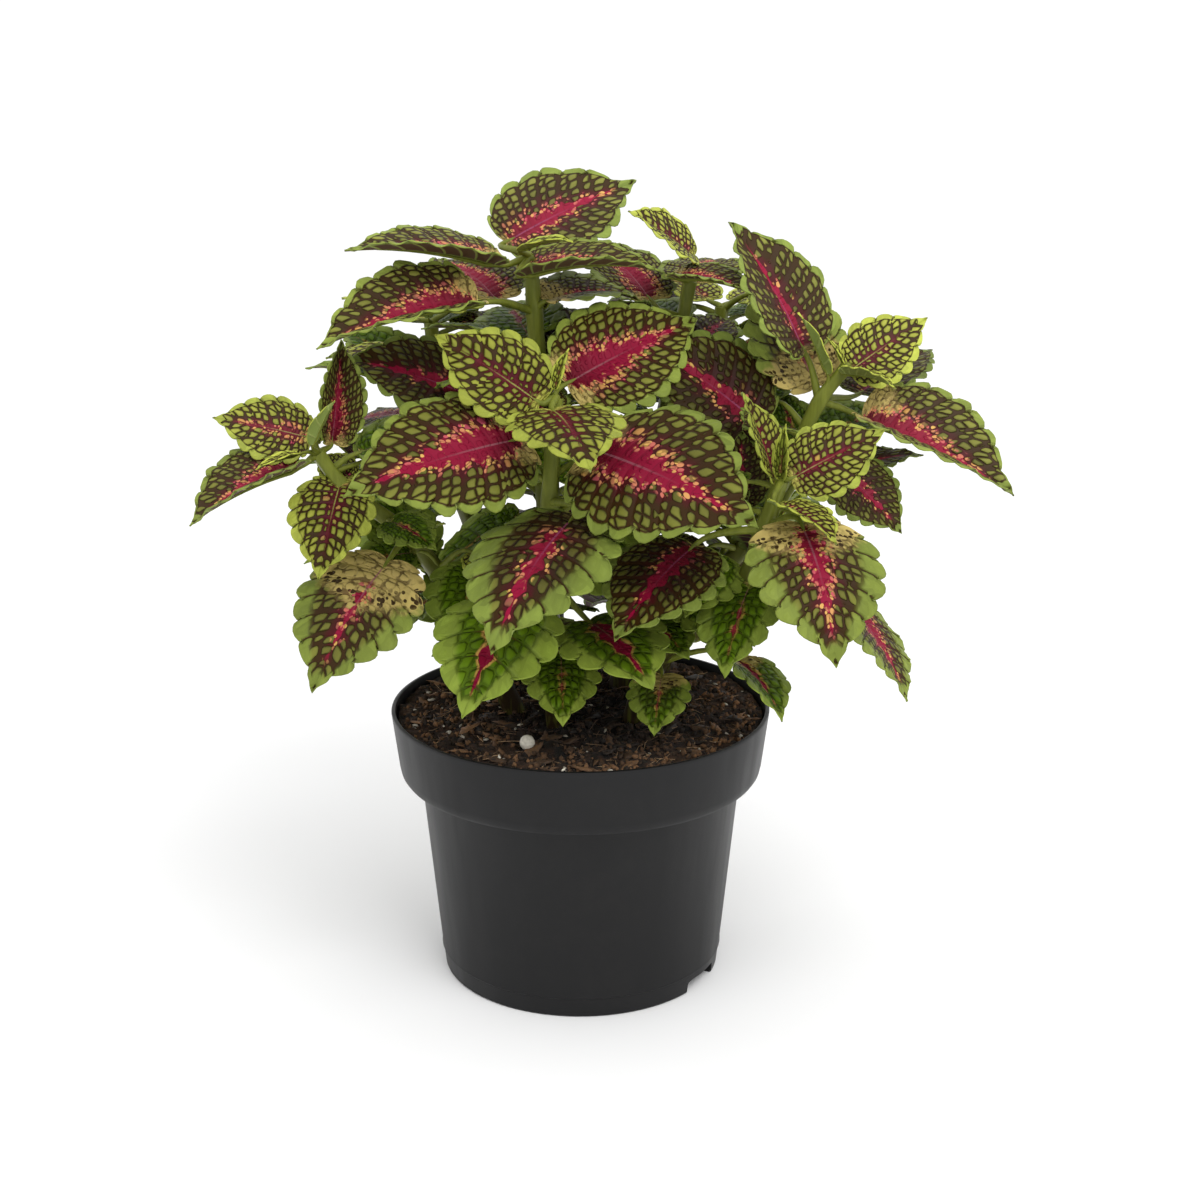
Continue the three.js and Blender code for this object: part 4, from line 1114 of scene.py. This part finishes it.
def smooth_path(points, steps):
    """A centripetal Catmull-Rom curve through points, steps to a span, as the stems grow."""
    points = [Vector(p) for p in points]
    padded = [2 * points[0] - points[1], *points, 2 * points[-1] - points[-2]]
    path = []
    for i in range(len(points) - 1):
        p = padded[i:i + 4]
        gaps = [max((p[j + 1] - p[j]).length ** 0.5, 1e-4) for j in range(3)]
        tangent_1 = (p[1] - p[0]) / gaps[0] - (p[2] - p[0]) / (gaps[0] + gaps[1]) + (p[2] - p[1]) / gaps[1]
        tangent_2 = (p[2] - p[1]) / gaps[1] - (p[3] - p[1]) / (gaps[1] + gaps[2]) + (p[3] - p[2]) / gaps[2]
        tangent_1, tangent_2 = tangent_1 * gaps[1], tangent_2 * gaps[1]
        for step in range(steps):
            s = step / steps
            path.append(
                (2 * s ** 3 - 3 * s ** 2 + 1) * p[1] + (s ** 3 - 2 * s ** 2 + s) * tangent_1
                + (-2 * s ** 3 + 3 * s ** 2) * p[2] + (s ** 3 - s ** 2) * tangent_2
            )
    return path + [points[-1]]


def tube(name, path, radii, profile=None):
    """A curve through path, thick as radii say in millimetres, made a mesh."""
    curve = bpy.data.curves.new(name, "CURVE")
    curve.dimensions = "3D"
    curve.use_fill_caps = True
    curve.twist_mode = "MINIMUM"
    if profile:
        curve.bevel_mode = "OBJECT"
        curve.bevel_object = profile
    else:
        curve.bevel_depth = MM
        curve.bevel_resolution = 2
    spline = curve.splines.new("POLY")
    spline.points.add(len(path) - 1)
    for point, place, radius in zip(spline.points, path, radii):
        point.co = (*(place * MM), 1)
        point.radius = radius
    piece = bpy.data.objects.new(name, curve)
    bpy.context.scene.collection.objects.link(piece)
    bpy.ops.object.select_all(action="DESELECT")
    piece.select_set(True)
    bpy.context.view_layer.objects.active = piece
    bpy.ops.object.convert(target="MESH")
    return bpy.context.active_object


def square_profile():
    """The stem's cross section: a square with well rounded corners, one unit to a corner."""
    curve = bpy.data.curves.new("square", "CURVE")
    curve.dimensions = "2D"
    spline = curve.splines.new("POLY")
    spline.points.add(STEM_CORNERS - 1)
    for i, point in enumerate(spline.points):
        angle = 2 * math.pi * i / STEM_CORNERS
        corner = abs(math.cos(angle)) ** STEM_SQUARENESS + abs(math.sin(angle)) ** STEM_SQUARENESS
        corner = corner ** (-1 / STEM_SQUARENESS)
        reach = corner / 1.24 * MM
        point.co = (reach * math.cos(angle), reach * math.sin(angle), 0, 1)
    spline.use_cyclic_u = True
    profile = bpy.data.objects.new("square", curve)
    bpy.context.scene.collection.objects.link(profile)
    return profile


def join(pieces, name):
    """Joins meshes into the first of them, and names it."""
    bpy.ops.object.select_all(action="DESELECT")
    for piece in pieces:
        piece.select_set(True)
    bpy.context.view_layer.objects.active = pieces[0]
    bpy.ops.object.join()
    return active_piece(name)


def midrib_point(leaf, place):
    """A point on a blade's midrib, in millimetres."""
    spot = bend_blade(np.array([0.0]), np.array([place ** (1 / RIB_CROWDING)]), np.array([NO_VEIN]), leaf)
    return Vector(spot[0]) / MM


def midrib_normal(leaf, share):
    """The upward direction of a blade at a point on its midrib."""
    right = dict(leaf, wave=0.0, phase=0.0)
    place = np.array([share ** (1 / RIB_CROWDING)] * 3)
    spots = bend_blade(np.array([-0.02, 0.02, 0.0]), place + [0, 0, 0.02], np.array([NO_VEIN] * 3), right)
    across, ahead = Vector(spots[1] - spots[0]), Vector(spots[2] - (spots[0] + spots[1]) / 2)
    return across.cross(ahead).normalized()


def blade_samples(leaf, count=15):
    """Points spread over a blade, in millimetres."""
    half, place = np.meshgrid(np.linspace(-1, 1, count), np.linspace(0.03, 0.97, count))
    pitch = (LOBE_END - LOBE_START) / LOOKS[leaf["look"]]["lobes"]
    vein = (place.ravel() - LOBE_START) / pitch
    return bend_blade(half.ravel(), place.ravel(), vein, dict(leaf, wave=0, phase=0)) / MM


def new_leaf(root, start, tip, roll, arch, fold, look, own=()):
    """A leaf's description, with the point on the stem where its stalk begins."""
    return dict(own, root=root, start=start, tip=tip, roll=roll, arch=arch, fold=fold, look=look)


# Between the grown leaves stand the smaller ones of the shade inside, and at the nodes a pair
# of sprouts. Each takes the best of some seeded directions: it clears all that stands there
# already, hides little of the grown leaves from the front, and closes the gaps between them.
SKIRT_LEAVES = 6                 # to a stem, low down and outwards
SKIRT_HEIGHTS = (106, 170)       # they grow from the stem between these heights,
SKIRT_FAN = 1.2                  # this far to either side of straight outwards, in radians,
SKIRT_MIDDLE = -8                # which is away from this place on the pot's middle line
SKIRT_STALK = (8, 14)            # ranges of their stalk's length, their blade's length and slope
SKIRT_SPAN = (28, 42)
SKIRT_SLOPE = (-45, -5)
INNER_LEAVES = 20                # to a stem, on all sides,
INNER_ZONE = (0.25, 1.0)         # between these shares of its length
INNER_STALK = (9, 16)
INNER_SPAN = (26, 40)
INNER_SLOPES = ((-40, 0), (-15, 25))    # under and over the height where they stop hanging
STOPS_HANGING = 160
SPROUT_STALK = 5
SPROUT_SPAN = (9, 15)
SPROUT_SLOPE = (10, 60)
FRESH_ROLL = (-20, 20)           # ranges of roll, arch and fold of all these leaves
FRESH_ARCH = (20, 36)
FRESH_FOLD = (8, 26)
FRESH_CLIMB = (0.1, 0.6)         # how far a stalk climbs, in its own length
FRESH_SAMPLES = 11               # points along and across a blade, where it is tested
ROOM = 50                        # how far out a leaf may reach at the skirt's floor,
SPREAD = 0.36                    # and how fast that widens with its height,
SPROUT_SPREAD = 0.6              # faster for a sprout,
BACK_SPREAD = 0.8                # and behind the front leaves,
BEHIND_FRONT = -15               # which is further back than this
ROOM_AT_STEM = 12                # there is always so much round its stem
FRONT_SHARE = 1.25               # the plant is shallower at the front
BACK_SHARE = 0.85                # and deeper at the back than it is wide
SKIRT_FLOOR = 100                # no leaf hangs lower than these,
INNER_FLOOR = 102
TOP_OF_SHADE = 238               # none stands higher than this,
BACK_OF_SHADE = 120              # or further back
TRIES = 60
CLEARANCE = 1.9                  # between the blades of neighbouring leaves
FRONT_EYE = (6.7, -651.0, 326.4)
FRONT_TILT = math.radians(16.65)    # the eye looks this far down
FRONT_CELL = 4.0                 # cells of the front view are this wide
WIDEST_GAP = 16                  # a gap between leaves is at most so many cells
HIDING = 0.06                    # the share of a new leaf that may stand before a grown one
PLAIN_WORTH = 4                  # a leaf that closes no gap is worth so many cells of one,
LUCK = (0.5, 1)                  # and chance takes up to half of its worth
STEM_STEPS = 12                  # points to a span, where leaves may grow from a stem


def front_view(spots):
    """The cell of the front view that each point falls in, and how far away it is."""
    offset = spots - np.array(FRONT_EYE)
    away = offset[:, 1] * math.cos(FRONT_TILT) - offset[:, 2] * math.sin(FRONT_TILT)
    high = offset[:, 1] * math.sin(FRONT_TILT) + offset[:, 2] * math.cos(FRONT_TILT)
    scale = -FRONT_EYE[1] / away / FRONT_CELL
    columns = np.rint(offset[:, 0] * scale).astype(int)
    rows = np.rint(high * scale).astype(int)
    return list(zip(columns.tolist(), rows.tolist())), away.tolist()


def enclosed_gaps(cells):
    """The empty cells of the front view that have leaves not far off on either side."""
    rows = {}
    for column, row in cells:
        rows.setdefault(row, []).append(column)
    gaps = set()
    for row, columns in rows.items():
        columns.sort()
        for left, right in zip(columns, columns[1:]):
            if right - left <= WIDEST_GAP:
                gaps.update((column, row) for column in range(left + 1, right))
    return gaps


def search_tree(spots):
    """A tree that finds the nearest of many points."""
    tree = KDTree(len(spots))
    for i, spot in enumerate(spots):
        tree.insert(spot, i)
    tree.balance()
    return tree


plant = {
    name: [new_leaf(points[node], *rest) for node, *rest in leaves]
    for name, (points, leaves) in LEAFY_STEMS.items()
}
grown = [blade_samples(leaf) for leaves in plant.values() for leaf in leaves]
front = {}
for spots in grown:
    for cell, away in zip(*front_view(spots)):
        front[cell] = min(away, front.get(cell, away))
holes = enclosed_gaps(front)
grown += [np.array([list(p) for p in smooth_path(points, STEM_STEPS)]) for points, _ in LEAFY_STEMS.values()]
grown_tree = search_tree(np.concatenate(grown))
fresh_spots = [(0.0, 0.0, 0.0)]
fresh_trees = [search_tree(fresh_spots)]


def try_leaf(draw, root, heading, stalk, span, slope, look, spread, floor):
    """The best leaf in a free direction from a root point, or none, in a list. A heading is a
    direction and how far to either side of it the leaf may turn."""
    best, best_score = None, 0.0
    for _ in range(TRIES):
        turn = heading[0] + draw.uniform(-heading[1], heading[1])
        length = draw.uniform(*span)
        outwards = Vector((math.cos(turn), math.sin(turn), 0))
        lift = math.radians(draw.uniform(*slope))
        start = root + outwards * stalk + Vector((0, 0, stalk * draw.uniform(*FRESH_CLIMB)))
        tip = start + (outwards * math.cos(lift) + Vector((0, 0, math.sin(lift)))) * length
        leaf = new_leaf(
            tuple(root), tuple(start), tuple(tip), draw.uniform(*FRESH_ROLL),
            draw.uniform(*FRESH_ARCH), draw.uniform(*FRESH_FOLD), look, {"depth": "inner"},
        )
        spots = blade_samples(leaf, FRESH_SAMPLES)
        wide = np.hypot(spots[:, 0], spots[:, 1] * np.where(spots[:, 1] < 0, FRONT_SHARE, BACK_SHARE))
        widening = np.where(spots[:, 1] > BEHIND_FRONT, max(spread, BACK_SPREAD), spread)
        room = ROOM + (spots[:, 2] - SKIRT_FLOOR) * widening
        room = np.maximum(room, math.hypot(root.x, root.y) + ROOM_AT_STEM)
        if spots[:, 2].min() < floor or spots[:, 2].max() > TOP_OF_SHADE:
            continue
        if spots[:, 1].max() > BACK_OF_SHADE:
            continue
        if (wide > room).any():
            continue
        cells, distances = front_view(spots)
        hidden = sum(away < front.get(cell, 0) - 1 for cell, away in zip(cells, distances))
        if hidden > HIDING * len(cells):
            continue
        gaps = len(holes.intersection(cells))
        score = (gaps + PLAIN_WORTH) * draw.uniform(*LUCK)
        if score < best_score:
            continue
        if min(grown_tree.find(spot)[2] for spot in spots) < CLEARANCE:
            continue
        if min(fresh_trees[-1].find(spot)[2] for spot in spots) > CLEARANCE:
            best, best_score = (leaf, spots, cells, distances), score
    if not best:
        return []
    leaf, spots, cells, distances = best
    fresh_spots.extend(spots.tolist())
    fresh_trees[:] = [search_tree(fresh_spots)]
    for cell, away in zip(cells, distances):
        front[cell] = min(away, front.get(cell, away))
    holes.difference_update(cells)
    return [leaf]


for number, (name, (points, _)) in enumerate(LEAFY_STEMS.items()):
    draw = random.Random(300 + number)
    path = smooth_path(points, STEM_STEPS)
    everywhere = (0, math.pi)
    low = [place for place in path if SKIRT_HEIGHTS[0] < place.z < SKIRT_HEIGHTS[1]]
    for _ in range(SKIRT_LEAVES):
        root = draw.choice(low)
        sideways = (math.atan2(root.y - SKIRT_MIDDLE, root.x), SKIRT_FAN)
        stalk = draw.uniform(*SKIRT_STALK)
        look = draw.choice(("green", "dark"))
        plant[name] += try_leaf(
            draw, root, sideways, stalk, SKIRT_SPAN, SKIRT_SLOPE, look, SPREAD, SKIRT_FLOOR
        )
    for _ in range(INNER_LEAVES):
        root = path[int(draw.uniform(*INNER_ZONE) * (len(path) - 1))]
        look = draw.choice(("green", "green", "dark", "young"))
        slope = INNER_SLOPES[root.z >= STOPS_HANGING]
        stalk = draw.uniform(*INNER_STALK)
        plant[name] += try_leaf(
            draw, root, everywhere, stalk, INNER_SPAN, slope, look, SPREAD, INNER_FLOOR
        )
    for node in points[2:]:
        for _ in range(2):
            look = draw.choice(("tip", "young"))
            plant[name] += try_leaf(
                draw, Vector(node), everywhere, SPROUT_STALK, SPROUT_SPAN, SPROUT_SLOPE, look,
                SPROUT_SPREAD, INNER_FLOOR,
            )

stem_square = square_profile()
for number, (name, (points, _)) in enumerate(LEAFY_STEMS.items()):
    draw = random.Random(100 + number)
    blades, stalks = [], []
    for leaf in plant[name]:
        blades.append(grown_blade(leaf, draw))
        root, start, tip = Vector(leaf["root"]), Vector(leaf["start"]), Vector(leaf["tip"])
        reach = (start - root).length
        slope = (midrib_point(leaf, 0.05) - start).normalized()
        knees = [
            root,
            root.lerp(start, 0.4) + Vector((0, 0, STALK_LIFT * reach)),
            start - 0.35 * reach * slope,
            start,
        ]
        path = []
        for step in range(STALK_STEPS + 1):
            s = step / STALK_STEPS
            path.append(
                (1 - s) ** 3 * knees[0] + 3 * s * (1 - s) ** 2 * knees[1]
                + 3 * s * s * (1 - s) * knees[2] + s ** 3 * knees[3]
            )
        slender = min(1, (tip - start).length / SHORT_LEAF)
        thick = STALK_RADIUS * (0.55 + 0.45 * slender)
        thin = STALK_TIP_RADIUS * slender
        radii = [thick + (thin - thick) * step / STALK_STEPS for step in range(STALK_STEPS + 1)]
        for step in range(1, RIB_STEPS + 1):
            share = RIB_LENGTH * step / RIB_STEPS
            radii.append(thin * (1 - step / (RIB_STEPS + 1)))
            path.append(midrib_point(leaf, share) - (radii[-1] + 0.1) * midrib_normal(leaf, share))
        stalks.append(tube("stalk", path, radii))
    foliage = join(blades, "leaves_" + name)
    foliage.data.materials.append(upper_skin)
    foliage.data.materials.append(under_skin)
    bpy.ops.object.mode_set(mode="EDIT")
    bpy.ops.mesh.select_all(action="SELECT")
    bpy.ops.mesh.remove_doubles(threshold=0.00001)
    bpy.ops.object.mode_set(mode="OBJECT")
    bpy.ops.object.shade_smooth()
    apply_modifier(
        foliage, "SOLIDIFY", thickness=BLADE_THICKNESS * MM, offset=0, use_rim=True,
        material_offset=1, material_offset_rim=0,
    )
    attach(foliage, "root")
    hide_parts("leafy_stem_" + name)

    path = smooth_path(points, STEM_RINGS)
    nodes = [Vector(point) for point in points[1:]]
    radii = []
    for i, place in enumerate(path):
        share = i / (len(path) - 1)
        plain = STEM_FOOT_RADIUS + (STEM_TOP_RADIUS - STEM_FOOT_RADIUS) * share
        knot = min((place - node).length for node in nodes)
        radii.append(plain * (1 + KNOT * math.exp(-((knot / KNOT_LENGTH) ** 2))))
    stem = tube("stem", path, radii, stem_square)
    aged_and_shaded = stem.data.attributes.new("aged_and_shaded", "FLOAT", "POINT")
    aged_and_shaded.data.foreach_set("value", [1.0] * len(stem.data.vertices))
    stem = join([stem, *stalks], "stem_" + name)
    stem.data.materials.clear()
    stem.data.materials.append(stem_skin)
    bpy.ops.object.shade_smooth_by_angle(angle=STEM_EDGE)
    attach(stem, "root")
    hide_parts("leafy_stem_" + name)
bpy.data.objects.remove(stem_square)


# ---------------------------------------------------------------------------------------------
# Floor, light and camera. A white seamless table, a broad soft light from above and a little
# to the right, and a camera that looks down on the pot from the front.

bpy.ops.mesh.primitive_plane_add(size=40, location=(0, 0, 0))
floor = active_piece("floor")
white = new_material("white_table")
shader = add_node("BsdfPrincipled", Base_Color=(0.95, 0.95, 0.95, 1), Roughness=0.9)
add_node("OutputMaterial", Surface=shader)
floor.data.materials.append(white)

world = bpy.data.worlds.new("studio")
bpy.context.scene.world = world
world.use_nodes = True
sky = world.node_tree.nodes["Background"]
sky.inputs["Color"].default_value = (1, 1, 1, 1)
sky.inputs["Strength"].default_value = 1.08

key_light = bpy.data.lights.new("key_light", "AREA")
key_light.shape = "SQUARE"
key_light.size = 0.8
key_light.energy = 10
softbox = bpy.data.objects.new("key_light", key_light)
bpy.context.scene.collection.objects.link(softbox)
softbox.location = (0.45, -0.9, 1.3)
plant_middle = Vector((0, 0, 0.15))
softbox.rotation_euler = (plant_middle - softbox.location).to_track_quat("-Z", "Y").to_euler()

camera_data = bpy.data.cameras.new("camera")
camera_data.lens = 60
camera_data.sensor_width = 36
camera = bpy.data.objects.new("camera", camera_data)
bpy.context.scene.collection.objects.link(camera)
camera.location = Vector(FRONT_EYE) * MM
camera.rotation_euler = (math.pi / 2 - FRONT_TILT, 0, 0)
bpy.context.scene.camera = camera
bpy.context.scene.view_settings.view_transform = "Standard"
